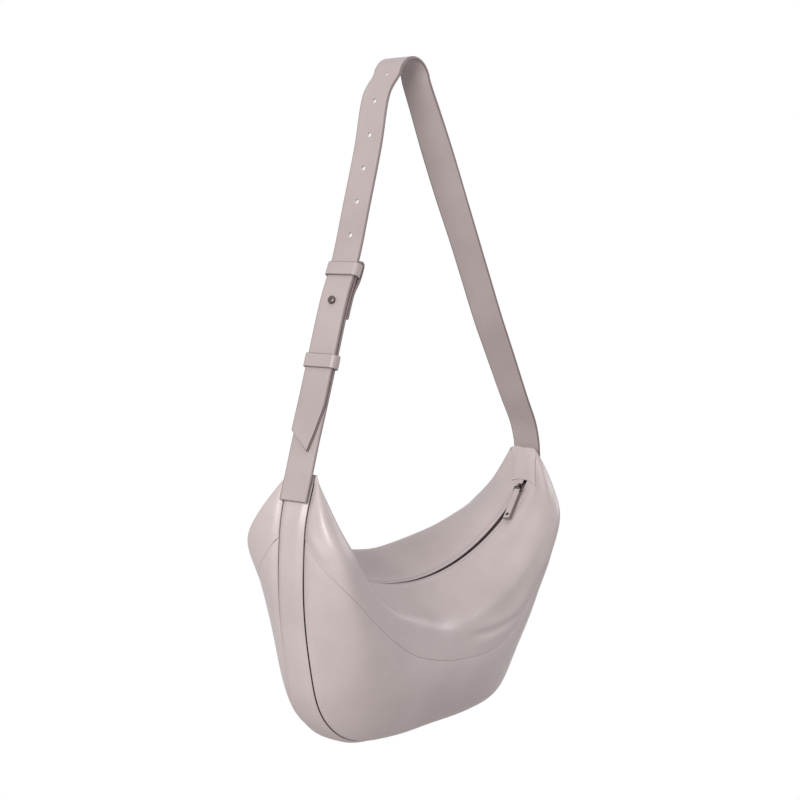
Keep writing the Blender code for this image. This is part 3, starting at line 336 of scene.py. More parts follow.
def curve_at(where, stations, values):
    """A smooth curve through uneven stations, read at many places."""
    stations, values = np.asarray(stations, float), np.asarray(values, float)
    steps = np.diff(stations)
    rises = np.diff(values, axis=0) / steps[:, None]
    before, after = steps[:-1, None], steps[1:, None]
    between = (rises[:-1] * after + rises[1:] * before) / (before + after)
    slopes = np.concatenate([rises[:1], between, rises[-1:]])
    k = np.clip(np.searchsorted(stations, where) - 1, 0, len(stations) - 2)
    wide = steps[k][:, None]
    part = (where - stations[k])[:, None] / wide
    share = part * part * (3 - 2 * part)
    leaving, coming = part * (1 - part)**2, part * part * (part - 1)
    return (values[k] * (1 - share) + values[k + 1] * share
            + wide * (slopes[k] * leaving + slopes[k + 1] * coming))


def evened(grid, rounds, along=0):
    """A grid of points evened out along one direction, with its ends kept."""
    grid = np.moveaxis(np.array(grid, float), along, 0)
    for _ in range(rounds):
        grid[1:-1] = grid[1:-1] * 0.5 + (grid[:-2] + grid[2:]) * 0.25
    return np.moveaxis(grid, 0, along)


def run_lengths(points):
    """How far along a line each of its points lies."""
    return np.concatenate([[0.0], np.cumsum(np.linalg.norm(np.diff(points, axis=0), axis=1))])


def read_at(wanted, places, values):
    """Rows of values that are given at places, read at others."""
    return np.stack([np.interp(wanted, places, column) for column in values.T], axis=-1)


def smoothed(points, samples):
    """A smooth line through points, with the knots of these points and the places of its samples."""
    points = np.asarray(points)
    spans = np.maximum(np.linalg.norm(np.diff(points, axis=0), axis=1), 1e-9)
    knots = np.concatenate([[0.0], np.cumsum(np.sqrt(spans))])
    places = np.linspace(0, knots[-1], samples)
    return curve_at(places, knots, points), knots, places


def through(points, samples):
    """A smooth line through points, sampled evenly, and the share of its length at each point."""
    fine, knots, places = smoothed(points, samples * 2)
    lengths = run_lengths(fine)
    line = read_at(np.linspace(0.0, lengths[-1], samples), lengths, fine)
    return line, np.interp(knots, places, lengths) / lengths[-1]


def tightened(count, strength):
    """Shares from 0 to 1 that lie closer together by both ends."""
    part = np.linspace(0, 1, count)
    return part - np.sin(2 * math.pi * part) / (2 * math.pi) * strength


def rounded_drop(distance, radius):
    """How far a rolled edge falls away at a distance from it."""
    inside = np.clip(1 - distance / radius, 0, 1)
    return radius * (1 - np.sqrt(np.clip(1 - inside**2, 0, 1)))


def noise_field(points, scale, seed):
    """A gentle random swell over points, made of a few crossing waves."""
    rng = np.random.RandomState(seed)
    total = np.zeros(points.shape[:-1])
    for _ in range(9):
        along = points @ unit(rng.normal(size=3)) * 2 * math.pi
        total += np.sin(along / (scale * rng.uniform(0.7, 1.5)) + rng.uniform(0, 6.28))
    return total / 9


# ---- The bag's lines in its level frame
def horn_to_horn(near, far):
    """A table from the near horn to the far one, from rows that each run from a horn to the middle."""
    near, far = np.array(near), np.array(far)[-2::-1]
    return np.concatenate([near[:, 0] - 1, 1 - far[:, 0]]), np.concatenate([near[:, 1:], far[:, 1:]])


def sections(shares):
    """The table of a line that is alike at both ends of the bag."""
    rows = np.array([section_stations, *shares]).T
    near = rows.copy()
    near[:, 1] *= -1
    return horn_to_horn(near, rows)


gusset_table = sections(gusset_shares)
cheek_table = sections(cheek_shares)
seam_table = horn_to_horn(near_seam_shares, far_seam_shares)
draw_table = horn_to_horn(near_draw_shares, far_draw_shares)
seam_tip = 1.0 - near_seam_shares[0][0]
zip_end = 1.0 - zip_end_share

zip_along = np.array([math.cos(zip_yaw), math.sin(zip_yaw), 0.0])
zip_down = np.array([math.sin(zip_yaw) * math.sin(zip_lean), -math.cos(zip_yaw) * math.sin(zip_lean),
                     -math.cos(zip_lean)])
zip_axis = np.cross(zip_along, zip_down)
zip_centre = np.array([zip_offset, zip_back_shift, -zip_drop]) - zip_down * zip_radius
hang = np.array(Matrix.Rotation(hang_tilt, 4, "Y") @ Matrix.Translation(
    (-strap_peg_offset, 0.0, strap_thickness / 2 - strap_rise)))


def hung(points):
    """Points of the level bag, in the row frame."""
    return np.asarray(points) @ hang[:3, :3].T + hang[:3, 3]


def leaning(along, out, down):
    """Points of the level bag after its lower part has swung towards the stud end."""
    points = np.stack([along * bag_half_length, out, down * bag_depth], axis=1)
    points[:, 0] += lean_share * points[:, 2]
    return points


def gusset_points(where, across):
    """The gusset's outer face: across runs from -1 at the front seam to 1."""
    along, down = curve_at(where, *gusset_table).T
    widening = (gusset_bottom_half_width - gusset_half_width) * np.clip(-down, 0, 1)**2
    first = gusset_shares[1][1]
    horn = np.where(down > first, np.clip(1 - down / first, 0, 1), 0.0)
    half = gusset_half_width + widening + horn * (strap_width / 2 - gusset_half_width)
    return leaning(along + curve_at(where, *draw_table)[:, 0], across * half, down)


def gusset_ways(where):
    """The gusset's outward direction at stations."""
    ahead = gusset_points(np.minimum(1.0, where + station_step), 0.0)
    behind = gusset_points(np.maximum(-1.0, where - station_step), 0.0)
    return level_normals(unit(ahead - behind))


def level_normals(run):
    """Directions square to a run along the bag, turned outwards, without a slope across the bag."""
    return run[:, [2, 1, 0]] * (1, 0, -1)


def side_points(table, where, side):
    """A table's points on the front or the back."""
    along, out, down = curve_at(where, *table).T
    if table is cheek_table:
        along = along + curve_at(where, *draw_table)[:, 0]
    return leaning(along, side * out * half_widths[side], down)


def seam_share(where):
    """How far up the side the yoke seam runs."""
    found = curve_at(where, *seam_table)[:, 0]
    return np.where(np.abs(where) > seam_tip, 0.0, np.maximum(found, 0.0))


def zip_frame(angle):
    """Place, direction, across (to the back) and up (to the arc's centre) on the zip's arc."""
    out, run = leaned(zip_down, zip_along, angle), leaned(zip_along, -zip_down, angle)
    return zip_centre + zip_radius * out, run, zip_axis, -out


def mouth_point(where, side):
    """The upper edge of a yoke and the way up from it: at the zip's slot, and along a horn's middle."""
    sign = 1 if where > 0 else -1
    angle = (zip_far_angle if where > 0 else -zip_near_angle) * sign * min(abs(where) / zip_end, 1.0)
    place, _, across, up = zip_frame(angle)
    if abs(where) <= zip_end:
        return place + across * side * zip_slot / 2, up
    part = (abs(where) - zip_end) / zip_end_share
    top = np.array([sign * (gusset_shares[0][0] * bag_half_length - horn_thickness), 0.0, 0.0])
    middle = place + (top - place) * horn_bend - up * facing_thickness
    curve = (1 - part)**2 * place + 2 * part * (1 - part) * middle + part**2 * top
    level = np.array([-sign, 0.0, 0.0])
    gap = max(seam_gap / 2, zip_slot / 2 * (1 - part / slot_end_share))
    return curve + across * side * gap, unit(up * (1 - part) + level * part)


class Side:
    """One side of the bag as a fine grid: stations from horn to horn, samples from gusset to mouth."""

    def __init__(self, side):
        self.side = side
        self.where = np.linspace(-1.0, 1.0, grid_stations)
        seam = gusset_points(self.where, side)
        cheek = side_points(cheek_table, self.where, side)
        belly = side_points(sections(belly_shares[side]), self.where, side)
        ridge = side_points(sections(ridge_shares[side]), self.where, side)
        shoulder = ridge + (belly - ridge) * shoulder_shares
        lines, marks, ups = [], [], []
        for k, where in enumerate(self.where):
            mouth, up = mouth_point(where, side)
            reach = min(zip_margin, np.linalg.norm(mouth - ridge[k]) / 3)
            margin = mouth + zip_axis * side * reach
            crown = ridge[k] + (margin - ridge[k]) * 0.5
            side_line = [seam[k], cheek[k], belly[k], shoulder[k], ridge[k], crown, margin, mouth]
            line, shares = through(side_line, grid_samples)
            lines.append(line)
            marks.append((shares[4], shares[6]))
            ups.append(up)
        self.ridge, self.margin = np.array(marks).T
        self.ups = np.array(ups)
        grid = evened(evened(lines, evening_rounds, 0), evening_rounds, 1)
        # The zip's edge keeps its true arc, and the smoothing fades in below it.
        shift = np.array(lines)[:, -1] - grid[:, -1]
        grid[:, -arc_samples:] += shift[:, None, :] * np.linspace(0, 1, arc_samples)[:, None]
        self.grid = grid
        self.way = unit(np.cross(np.gradient(grid, axis=0), np.gradient(grid, axis=1))) * -side
        self.length = np.linalg.norm(np.diff(grid, axis=1), axis=2).sum(axis=1)
        self.relief = np.zeros(grid.shape[:2])

    def read(self, where, shares):
        """Points, outward directions and relief at stations, by shares with a row for each station."""
        values = np.concatenate([self.grid, self.way, self.relief[..., None]], axis=2)
        place = ((where + 1) / 2 * (grid_stations - 1))[:, None]
        column = np.clip(shares, 0, 1) * (grid_samples - 1)
        i = np.clip(place.astype(int), 0, grid_stations - 2)
        j = np.clip(column.astype(int), 0, grid_samples - 2)
        f, g = (place - i)[..., None], (column - j)[..., None]
        low = values[i, j] * (1 - g) + values[i, j + 1] * g
        high = values[i + 1, j] * (1 - g) + values[i + 1, j + 1] * g
        found = low * (1 - f) + high * f
        return found[..., :3], unit(found[..., 3:6]), found[..., 6]

    def at(self, values, where):
        """Values that are given at the grid's stations, read at others, as a column."""
        return np.interp(where, self.where, values)[:, None]

    def ups_at(self, where):
        """The way up out of the mouth at stations."""
        return np.array([mouth_point(w, self.side)[1] for w in where])[:, None, :]

    def fold(self, marks, height, reach, other_reach, tail, crisp=None):
        """Raises the relief along a row of the table of folds."""
        part = np.linspace(0, 1, fold_samples)
        line = curve_at(part, np.linspace(0, 1, len(marks)), marks)
        path = self.read(line[:, 0], line[:, 1:])[0][:, 0]
        weight = eased(np.minimum(part, 1 - part) / tail)
        run = unit(np.gradient(path, axis=0))
        flat = self.grid.reshape(-1, 3)
        found = np.full(len(flat), np.inf)
        nearest = np.zeros(len(flat), int)
        for k, point in enumerate(path):
            gap = np.linalg.norm(flat - point, axis=1)
            better = gap < found
            found[better] = gap[better]
            nearest[better] = k
        towards = np.cross(run[nearest], self.way.reshape(-1, 3))
        above = ((flat - path[nearest]) * towards).sum(axis=1) * -self.side > 0
        width = np.where(above, other_reach, reach)
        if crisp is None:
            shape = np.exp(-(found / width)**2)
        else:
            shape = np.exp(-(np.sqrt(found**2 + crisp**2) - crisp) / width)
        self.relief += (height * shape * weight[nearest]).reshape(self.relief.shape)


sides = {-1: Side(-1), 1: Side(1)}
words = {-1: "front", 1: "back"}
for which, *fold in folds:
    sides[which].fold(*fold)


# ---- Materials
def hex_colour(code):
    """A Blender colour from an sRGB hex code."""
    values = [int(code[k:k + 2], 16) / 255 for k in (0, 2, 4)]
    return (*(v / 12.92 if v <= 0.04045 else ((v + 0.055) / 1.055)**2.4 for v in values), 1.0)


def node(tree, kind, settings=None, links=None):
    """A node with its settings and links, each named by its property or socket. A ramp is given by its
    two stops, each a place and a hex code. A link comes from a socket, or from a node's first output."""
    made = tree.nodes.new("ShaderNode" + kind)
    for key, value in (settings or {}).items():
        if key == "ramp":
            for stop, (place, code) in zip(made.color_ramp.elements, value):
                stop.position, stop.color = place, hex_colour(code)
        elif isinstance(key, str) and hasattr(made, key):
            setattr(made, key, value)
        else:
            made.inputs[key].default_value = value
    for key, source in (links or {}).items():
        tree.links.new(getattr(source, "outputs", [source])[0], made.inputs[key])
    return made


def new_material(name):
    """An empty material, its tree and its coordinates."""
    mat = bpy.data.materials.new(name)
    mat.use_nodes = True
    tree = mat.node_tree
    tree.nodes.clear()
    return mat, tree, node(tree, "TexCoord").outputs


def shaded(mat, settings, links=None):
    """A material once it has its Principled shader, with these settings and links, and its output."""
    shader = node(mat.node_tree, "BsdfPrincipled", settings, links)
    node(mat.node_tree, "OutputMaterial", None, {"Surface": shader})
    return mat


def per_metre(millimetres):
    """A pattern's scale from its real size."""
    return 1000.0 / millimetres


def smooth_calf_leather(name, light, dark, roughness):
    """Aniline-finished calf leather: a fine closed grain of about 0.9 mm, faint clouding of the dye over
    some 60 mm, and a soft waxed sheen that varies a little where the hide is handled."""
    mat, tree, coords = new_material(name)
    place = {"Vector": coords["Object"]}
    clouds, pores, hills = (
        node(tree, "TexNoise", {"Scale": per_metre(size), "Detail": detail, "Roughness": rough}, place)
        for size, detail, rough in ((60, 3.0, 0.55), (1.6, 4.0, 0.6), (9, 2.0, 0.5)))
    cells = node(tree, "TexVoronoi", {"feature": "SMOOTH_F1", "Scale": per_metre(0.9),
                                                "Smoothness": 0.6, "Randomness": 1.0}, place)
    tone = node(tree, "ValToRGB", {"ramp": ((0.30, dark), (0.70, light))}, {"Fac": clouds})
    speckle = node(tree, "MapRange", {"From Min": 0.30, "From Max": 0.70, "To Min": 0.0,
                                                "To Max": 0.10}, {"Value": pores})
    # A Mix node takes its two colours at 6 and 7 and gives the mixed one at 2.
    colour = node(tree, "Mix", {"data_type": "RGBA", "blend_type": "MULTIPLY",
                                          7: hex_colour("d8cfce")}, {0: speckle, 6: tone})
    sheen = node(tree, "MapRange", {"From Min": 0.35, "From Max": 0.65, "To Min": roughness - 0.04,
                                              "To Max": roughness + 0.05}, {"Value": clouds})
    swell = node(tree, "Bump", {"Strength": 0.35, "Distance": 0.00035}, {"Height": hills})
    grain = node(tree, "Bump", {"Strength": 0.5, "Distance": 0.00005},
                 {"Height": cells, "Normal": swell})
    fine = node(tree, "Bump", {"Strength": 0.4, "Distance": 0.00003},
                {"Height": pores, "Normal": grain})
    wax = {"IOR": 1.5, "Specular IOR Level": 0.45, "Coat Weight": 0.16, "Coat Roughness": 0.27}
    return shaded(mat, wax, {"Base Color": colour.outputs[2], "Roughness": sheen, "Normal": fine})


def painted_edge(name, dark, light):
    """Edge dye built up in coats and burnished: smoother and a little darker than the hide."""
    mat, tree, coords = new_material(name)
    ripple = node(tree, "TexNoise", {"Scale": per_metre(2.2), "Detail": 2.0},
                  {"Vector": coords["Object"]})
    tone = node(tree, "ValToRGB", {"ramp": ((0.0, dark), (1.0, light))}, {"Fac": ripple})
    bump = node(tree, "Bump", {"Strength": 0.4, "Distance": 0.0001}, {"Height": ripple})
    return shaded(mat, {"Roughness": 0.42}, {"Base Color": tone, "Normal": bump})


def woven(name, dark, light, thread, uses_uv=False, roughness=0.9):
    """Plain-woven yarn: crossing threads, matt, with a faint fuzz. The crests of a wave lie 0.314 m over
    its scale apart, so the real threads are 0.63 of thread apart, which is in millimetres."""
    mat, tree, coords = new_material(name)
    warp, weft = (
        node(tree, "TexWave", {"wave_type": "BANDS", "bands_direction": way, "wave_profile": "SIN",
                                         "Scale": per_metre(thread) / 2, "Distortion": 0.25},
             {"Vector": coords["UV" if uses_uv else "Object"]}).outputs["Fac"]
        for way in ("X", "Y" if uses_uv else "Z"))
    cross = node(tree, "Math", {"operation": "MULTIPLY"}, {0: warp, 1: weft})
    tone = node(tree, "ValToRGB", {"ramp": ((0.0, dark), (1.0, light))}, {"Fac": cross})
    bump = node(tree, "Bump", {"Strength": 0.7, "Distance": 0.00012}, {"Height": cross})
    return shaded(mat, {"Roughness": roughness, "Sheen Weight": 0.2}, {"Base Color": tone, "Normal": bump})


def satin_metal(name, dark, light, roughness):
    """Plated zinc die casting, barrel polished: a satin metal with faint tumbling marks."""
    mat, tree, coords = new_material(name)
    marks = node(tree, "TexNoise", {"Scale": per_metre(0.8), "Detail": 3.0},
                 {"Vector": coords["Object"]})
    tone = node(tree, "ValToRGB", {"ramp": ((0.0, dark), (1.0, light))}, {"Fac": marks})
    rough = node(tree, "MapRange", {"From Min": 0.3, "From Max": 0.7, "To Min": roughness - 0.05,
                                              "To Max": roughness + 0.06}, {"Value": marks})
    return shaded(mat, {"Metallic": 1.0}, {"Base Color": tone, "Roughness": rough})


calf = smooth_calf_leather("smooth_calf_leather", "c0b2b2", "b6a8a8", 0.42)
# The straps take a darker copy of the body's calf leather: painted shade on the straps.
strap_calf_painted_shade = smooth_calf_leather("strap_calf_leather_painted_shade", "ada09f", "a49696", 0.44)
# Dark edge dye, partly the leather's own and partly painted shade: it darkens the strap and keeper edges,
# the tail's cut end and the walls of the gusset seams and the zip's mouth, where shade falls.
edge_dye_and_painted_shade = painted_edge("leather_edge_dye_and_painted_shade", "736465", "817272")
hole_edge = painted_edge("punched_hole_edge", "c9bfbe", "ddd5d4")
twill = woven("cotton_lining_cloth", "6d6160", "8b7f7d", 0.7)
tape_weave = woven("polyester_zip_tape", "5f5151", "7d6f6f", 0.6, True)
thread = woven("bonded_sewing_thread", "9a8a8a", "b3a5a4", 0.4, False, 0.6)
tooth_metal = satin_metal("dark_plated_zip_teeth", "3b3333", "544a4a", 0.36)
fitting_metal = satin_metal("dark_satin_plated_zinc", "5a5251", "6e6665", 0.30)
strap_finish = (strap_calf_painted_shade, edge_dye_and_painted_shade, hole_edge)


# ---- Making pieces
def clear_choice():
    """Nothing is selected before an operator runs."""
    for obj in bpy.context.selected_objects:
        obj.select_set(False)


def modified(obj, kind, **settings):
    """Gives an object a modifier and applies it."""
    made = obj.modifiers.new(kind.lower(), kind)
    for key, value in settings.items():
        setattr(made, key, value)
    clear_choice()
    obj.select_set(True)
    bpy.context.view_layer.objects.active = obj
    bpy.ops.object.modifier_apply(modifier=made.name)


def faced_outwards(mesh):
    """Turns a closed mesh inside out if its volume is negative, so that its faces point outwards."""
    mesh.calc_loop_triangles()
    points = np.empty(len(mesh.vertices) * 3)
    mesh.vertices.foreach_get("co", points)
    corners = np.empty(len(mesh.loop_triangles) * 3, np.int32)
    mesh.loop_triangles.foreach_get("vertices", corners)
    a, b, c = points.reshape(-1, 3)[corners].reshape(-1, 3, 3).transpose(1, 0, 2)
    if (a * np.cross(b, c)).sum() < 0:
        mesh.flip_normals()


def shaped(mesh, points, faces=(), edges=()):
    """Lays a mesh's points in their hung places. It keeps its own faces unless others are given."""
    points = hung(np.reshape(points, (-1, 3)))
    if faces or edges:
        mesh.clear_geometry()
        mesh.from_pydata([tuple(p) for p in points], edges, faces)
    else:
        mesh.vertices.foreach_set("co", points.ravel())
    mesh.update()
    if not edges:
        faced_outwards(mesh)


def finished(obj, name, replaced, mats=(calf, edge_dye_and_painted_shade), body="bag", sharp=55):
    """Names a piece, gives it its finish and its CAD body, and settles its place in its mesh. It stands
    for the CAD node that it replaces, if there is one, and each face keeps its slot among the finishes
    given."""
    obj.name = name
    obj.data.name = name
    obj.data.transform(obj.matrix_world)
    obj.matrix_world = Matrix.Identity(4)
    marks = np.empty(len(obj.data.polygons), np.int32)
    obj.data.polygons.foreach_get("material_index", marks)
    obj.data.materials.clear()
    for mat in mats:
        obj.data.materials.append(mat)
    obj.data.polygons.foreach_set("material_index", marks)
    obj.data.shade_smooth()
    obj.data.set_sharp_from_angle(angle=math.radians(sharp))
    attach(obj, body)
    if replaced:
        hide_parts(replaced)


def lofted(outer, inner, uv=None, painted=()):
    """A wall between two grids of points: a flat sheet is given its wall, then laid onto them. Painted
    says for the first and the last column at which rows the wall's edge takes the dark edge dye, which
    there is painted shade in the seam and zip lines."""
    rows, columns = outer.shape[:2]
    clear_choice()
    bpy.ops.mesh.primitive_grid_add(x_subdivisions=columns - 1, y_subdivisions=rows - 1, size=1.0)
    obj = bpy.context.object
    if uv is not None:
        corner = np.empty(len(obj.data.loops), np.int32)
        obj.data.loops.foreach_get("vertex_index", corner)
        obj.data.uv_layers.active.data.foreach_set("uv", uv.reshape(-1, 2)[corner].ravel())
    modified(obj, "SOLIDIFY", thickness=0.01, offset=-1.0)
    shaped(obj.data, np.concatenate([outer, inner]))
    for face in obj.data.polygons:
        corners = [v for v in face.vertices if v < rows * columns]
        if 0 < len(corners) < len(face.vertices):
            for column, paint in zip((0, columns - 1), painted):
                if all(v % columns == column and paint[v // columns] for v in corners):
                    face.material_index = 1
    return obj


# ---- Leather and cloth of the bag
def leather_piece(name, replaced, side, where, low, high, count, at_mouth=False):
    """A leather wall of one side, its edges rolled into the seams beside them. Gives back its outer
    points and the directions that its wall stands in."""
    grid = sides[side]
    lengths = grid.at(grid.length, where)
    low, high = low[:, None], high[:, None]
    shares = low + (high - low) * tightened(count, wall_tightness)
    points, way, relief = grid.read(where, shares)
    from_low, from_high = (shares - low) * lengths, (high - shares) * lengths
    calm = eased(np.minimum(from_low, from_high) / calm_reach)
    relief = relief * (fold_left_at_seam + (1 - fold_left_at_seam) * calm)
    relief += noise_field(points, swell_span, 5 + side) * swell_height * calm
    # Along the gusset the wall is mitred with it, and at the mouth it turns to the zip.
    by_gusset = low * lengths < gusset_touch
    seam_way = unit(gusset_ways(where) + way[:, 0])[:, None, :]
    way = turned_to(way, seam_way, eased(1 - from_low / gusset_half_width) * by_gusset)
    drop = rounded_drop(from_low, yoke_roll + (gusset_roll - yoke_roll) * by_gusset)
    valley = yoke_valley + (gusset_valley - yoke_valley) * by_gusset
    relief -= valley * np.exp(-(from_low / valley_reach)**2)
    if at_mouth:
        station = ((where + 1) / 2 * (grid_stations - 1)).round().astype(int)
        way = turned_to(way, grid.ups[station][:, None, :], eased(1 - from_high / zip_margin))
        drop += rounded_drop(from_high, mouth_roll)
        relief += folded_edge * (1 - eased((from_high - folded_width) / folded_step + 0.5))
    else:
        drop += rounded_drop(from_high, yoke_roll)
        relief -= yoke_valley * np.exp(-(from_high / valley_reach)**2)
    base = points + way * relief[..., None]
    outer = base - way * drop[..., None]
    # The wall's edges by the gusset and at the mouth take the dark edge dye, as painted shade in the seam
    # and zip lines.
    obj = lofted(outer, base - way * leather, None, (by_gusset[:, 0], [at_mouth] * len(where)))
    finished(obj, name, replaced)
    return outer, way


def build_leather():
    """Yokes, with their stitches, and body panels."""
    tip = seam_tip - seam_tip_gap
    inner = np.linspace(-tip, tip, seam_stations)
    ends = np.linspace(tip, 1.0, end_stations)[1:]
    every = np.concatenate([-ends[::-1], inner, ends])
    for side, word in words.items():
        lengths = sides[side].at(sides[side].length, every)[:, 0]
        edge, seam = gusset_lines[side] / 2 / lengths, seam_line / 2 / lengths
        low = np.where(np.abs(every) > tip + 0.0001, edge, seam_share(every) + seam)
        outer, way = leather_piece(word + "_yoke_leather", word + "_yoke", side, every, low,
                                   np.ones(len(every)), yoke_rows, True)
        stitch_row(word, outer, way, every)
        below = slice(len(ends), -len(ends))
        leather_piece(word + "_panel_leather", word + "_body_panel", side, inner, edge[below],
                      seam_share(inner) - seam[below], panel_rows)


def stitch_row(word, outer, way, where):
    """The stitches that hold the zip, along the mouth's folded edge: each is a short thread lying in
    the leather, rounded at both ends."""
    kept = np.abs(where) < zip_end - stitch_stop
    points, ways = [], []
    for row, lift in zip(outer[kept][:, ::-1], way[kept][:, ::-1]):
        down = run_lengths(row)
        points.append(read_at(stitch_inset, down, row))
        ways.append(lift[np.searchsorted(down, stitch_inset) - 1])
    points = np.array(points)
    lengths = run_lengths(points)
    count = int(lengths[-1] / stitch_pitch)
    wanted = (np.arange(count) + 0.5) * stitch_pitch
    centre = read_at(wanted, lengths, points)
    run = unit(read_at(wanted, lengths, np.gradient(points, axis=0)))
    out = unit(read_at(wanted, lengths, np.array(ways)))
    across = unit(np.cross(run, out))
    clear_choice()
    bpy.ops.mesh.primitive_uv_sphere_add(segments=8, ring_count=6, radius=1.0)
    obj = bpy.context.object
    faces = [tuple(face.vertices) for face in obj.data.polygons]
    ball = np.array([v.co[:] for v in obj.data.vertices])
    ball = ball * (thread_radius, thread_radius, stitch_pitch * thread_share)
    places = centre[:, None, :] + sum(axis[:, None, :] * ball[None, :, k:k + 1]
                                      for k, axis in enumerate((across, out, run)))
    faces = [tuple(v + k * len(ball) for v in face) for k in range(count) for face in faces]
    shaped(obj.data, places, faces)
    finished(obj, word + "_zip_stitches", None, [thread])


def build_gusset():
    """The strip between the two sides, rolled along both of its edges."""
    front, back = sides[-1], sides[1]
    near, far = front.grid[:, :1], back.grid[:, :1]
    wide = np.linalg.norm(far - near, axis=2)
    front_gap, back_gap = (gusset_lines[side] / 2 / wide for side in (-1, 1))
    part = front_gap + tightened(gusset_rows, gusset_tightness) * (1 - front_gap - back_gap)
    points = near * (1 - part[..., None]) + far * part[..., None]
    normal = level_normals(unit(np.gradient((points[:, 0] + points[:, -1]) / 2, axis=0)))
    way = np.repeat(normal[:, None, :], gusset_rows, axis=1)
    distance = np.minimum(part, 1 - part) * wide
    half = gusset_rows // 2
    for rows, grid in ((slice(0, half), front), (slice(half, gusset_rows), back)):
        mitre = unit(normal + grid.way[:, 0])[:, None, :]
        way[:, rows] = turned_to(way[:, rows], mitre, eased(1 - distance[:, rows] / gusset_mitre))
    crown = gusset_crown * (1 - (2 * part - 1)**2) * eased((1 - np.abs(front.where)) / crown_fade)[:, None]
    crown = crown - gusset_valley * np.exp(-(distance / valley_reach)**2)
    base = points + way * crown[..., None]
    outer = base - way * rounded_drop(distance, gusset_roll)[..., None]
    # Both of its edge walls take the dark edge dye, as painted shade in the seam lines.
    obj = lofted(outer, base - way * leather, None, np.full((2, grid_stations), True))
    finished(obj, "gusset_leather", "gusset_strip")


def build_facings():
    """The leather patch over the inner side of each horn."""
    for sign, word in ((-1, "near"), (1, "far")):
        where = np.linspace(zip_end + station_step, 1.0, facing_stations)[::sign] * sign
        first, last = (0, -1)[::sign]
        halves = []
        for grid in sides.values():
            lengths = grid.at(grid.length, where)
            ridge = np.maximum(grid.at(grid.ridge, where), 1 - facing_half_width / lengths)
            shares = ridge + (1 - ridge) * np.linspace(0, 1, facing_rows)
            points, way, _ = grid.read(where, shares)
            way = turned_to(way, grid.ups_at(where), eased(1 - (1 - shares) * lengths / zip_margin))
            from_end = np.abs(where - where[first])[:, None] * bag_half_length + facing_edge
            halves.append((points, way, np.minimum((shares - ridge) * lengths, from_end)))
        points, way, distance = (np.concatenate([a, b[:, ::-1]], axis=1) for a, b in zip(*halves))
        points, way = evened(points, facing_rounds, 1), unit(evened(way, facing_rounds, 1))
        drop = rounded_drop(distance, facing_roll)
        # Over the horn's top it narrows, and the far one rises behind the strap's end.
        top = points[last]
        step = top * (1.0, facing_narrowing, 1.0) - top + (0.0, 0.0, facing_rise if sign > 0 else 0.0)
        more = [top + step * k for k in (0.33, 0.66, 1.0)], [way[last]] * 3, [drop[last]] * 3
        points, way, drop = (np.concatenate([g, m] if sign > 0 else [m[::-1], g])
                             for g, m in zip((points, way, drop), more))
        outer = points + way * (facing_gap + facing_thickness - drop[..., None])
        obj = lofted(outer, points + way * facing_gap)
        finished(obj, word + "_horn_facing_leather", word + "_horn_facing", [calf])


def build_linings():
    """The cloth inside, hung a little slack behind the leather."""
    limit = 1.0 - zip_end_share * lining_end
    where = np.linspace(-limit, limit, cloth_stations)
    gusset_way = gusset_ways(where)
    for side, word in words.items():
        grid = sides[side]
        lengths, margin = grid.at(grid.length, where), grid.at(grid.margin, where)
        low = leather / lengths
        shares = low + (margin - low) * np.linspace(0, 1, cloth_rows)
        points, way, _ = grid.read(where, shares)
        seam_way = unit(gusset_way + way[:, 0])[:, None, :]
        way = turned_to(way, seam_way, eased(1 - (shares - low) * lengths / gusset_half_width))
        part = eased((shares - margin) * lengths / lining_hem + 1)
        deep = lining_depth * (1 - part) + (leather + seam_gap * 2 + tape_thickness) * part
        slack = (noise_field(points, slack_span, 40 + side) * 0.5 + 0.5) * lining_slack * (1 - part)
        start = gusset_points(where, side * seam_gap / gusset_half_width) - gusset_way * lining_depth
        outer, inner = (np.concatenate([(start - gusset_way * more)[:, None, :],
                                        points - way * (deep + slack + more)[..., None]], axis=1)
                        for more in (0.0, lining_thickness))
        finished(lofted(outer, inner), word + "_lining_cloth", word + "_lining", [twill])


def build_tapes():
    """The zip's woven tapes, dipping under the mouth's edges."""
    where = np.linspace(-zip_end, zip_end, tape_stations)
    part = np.linspace(0, 1, tape_rows)
    for side, word in words.items():
        grid = sides[side]
        margin = grid.at(grid.margin, where)
        shares = margin + (1 - margin) * part
        points, way, _ = grid.read(where, shares)
        way = turned_to(way, grid.ups_at(where), eased(part))
        deep = ((leather + seam_gap) * (1 - part) + tape_drop * part)[:, None]
        along = np.repeat(where[:, None] * zip_radius, tape_rows, axis=1)
        uv = np.stack([along, (1 - shares) * grid.at(grid.length, where)], axis=2)
        obj = lofted(points - way * deep, points - way * (deep + tape_thickness), uv)
        finished(obj, "zip_tape_cloth_" + word, "zip_tape_" + word, [tape_weave])


# ---- Straps
class Line:
    """The smooth middle line of a flat band, read by its length. The band is wide along width."""

    def __init__(self, points, width=(0.0, 1.0, 0.0), rounds=10):
        self.width = np.asarray(width, float)
        self.places = evened(smoothed(points, line_samples)[0], rounds)
        self.lengths = run_lengths(self.places)
        self.length = float(self.lengths[-1])
        self.runs = unit(np.gradient(self.places, axis=0))

    def at(self, length):
        """Points at lengths."""
        return read_at(length, self.lengths, self.places)

    def run(self, length):
        """Directions of travel at lengths."""
        return unit(read_at(length, self.lengths, self.runs))

    def out(self, length):
        """The side of the line turned away from the loop's inside, on the way up the stud side."""
        return unit(np.cross(self.run(length), self.width))

    def beside(self, length, shift):
        """Points shifted off the line, towards the loop's inside."""
        return self.at(length) - self.out(length) * shift

    def length_at_height(self, height):
        """The first length at which the line reaches a height."""
        return float(self.lengths[np.argmax(self.places[:, 2] > height)])


def end_lap(sign, thickness):
    """The line of a strap's end, laid down the outside of the gusset from the horn's top."""
    where = lap_stations * sign
    points = gusset_points(where, 0.0) + gusset_ways(where) * (lap_gap + thickness / 2)
    return points[points[:, 2] > -strap_end_lap]


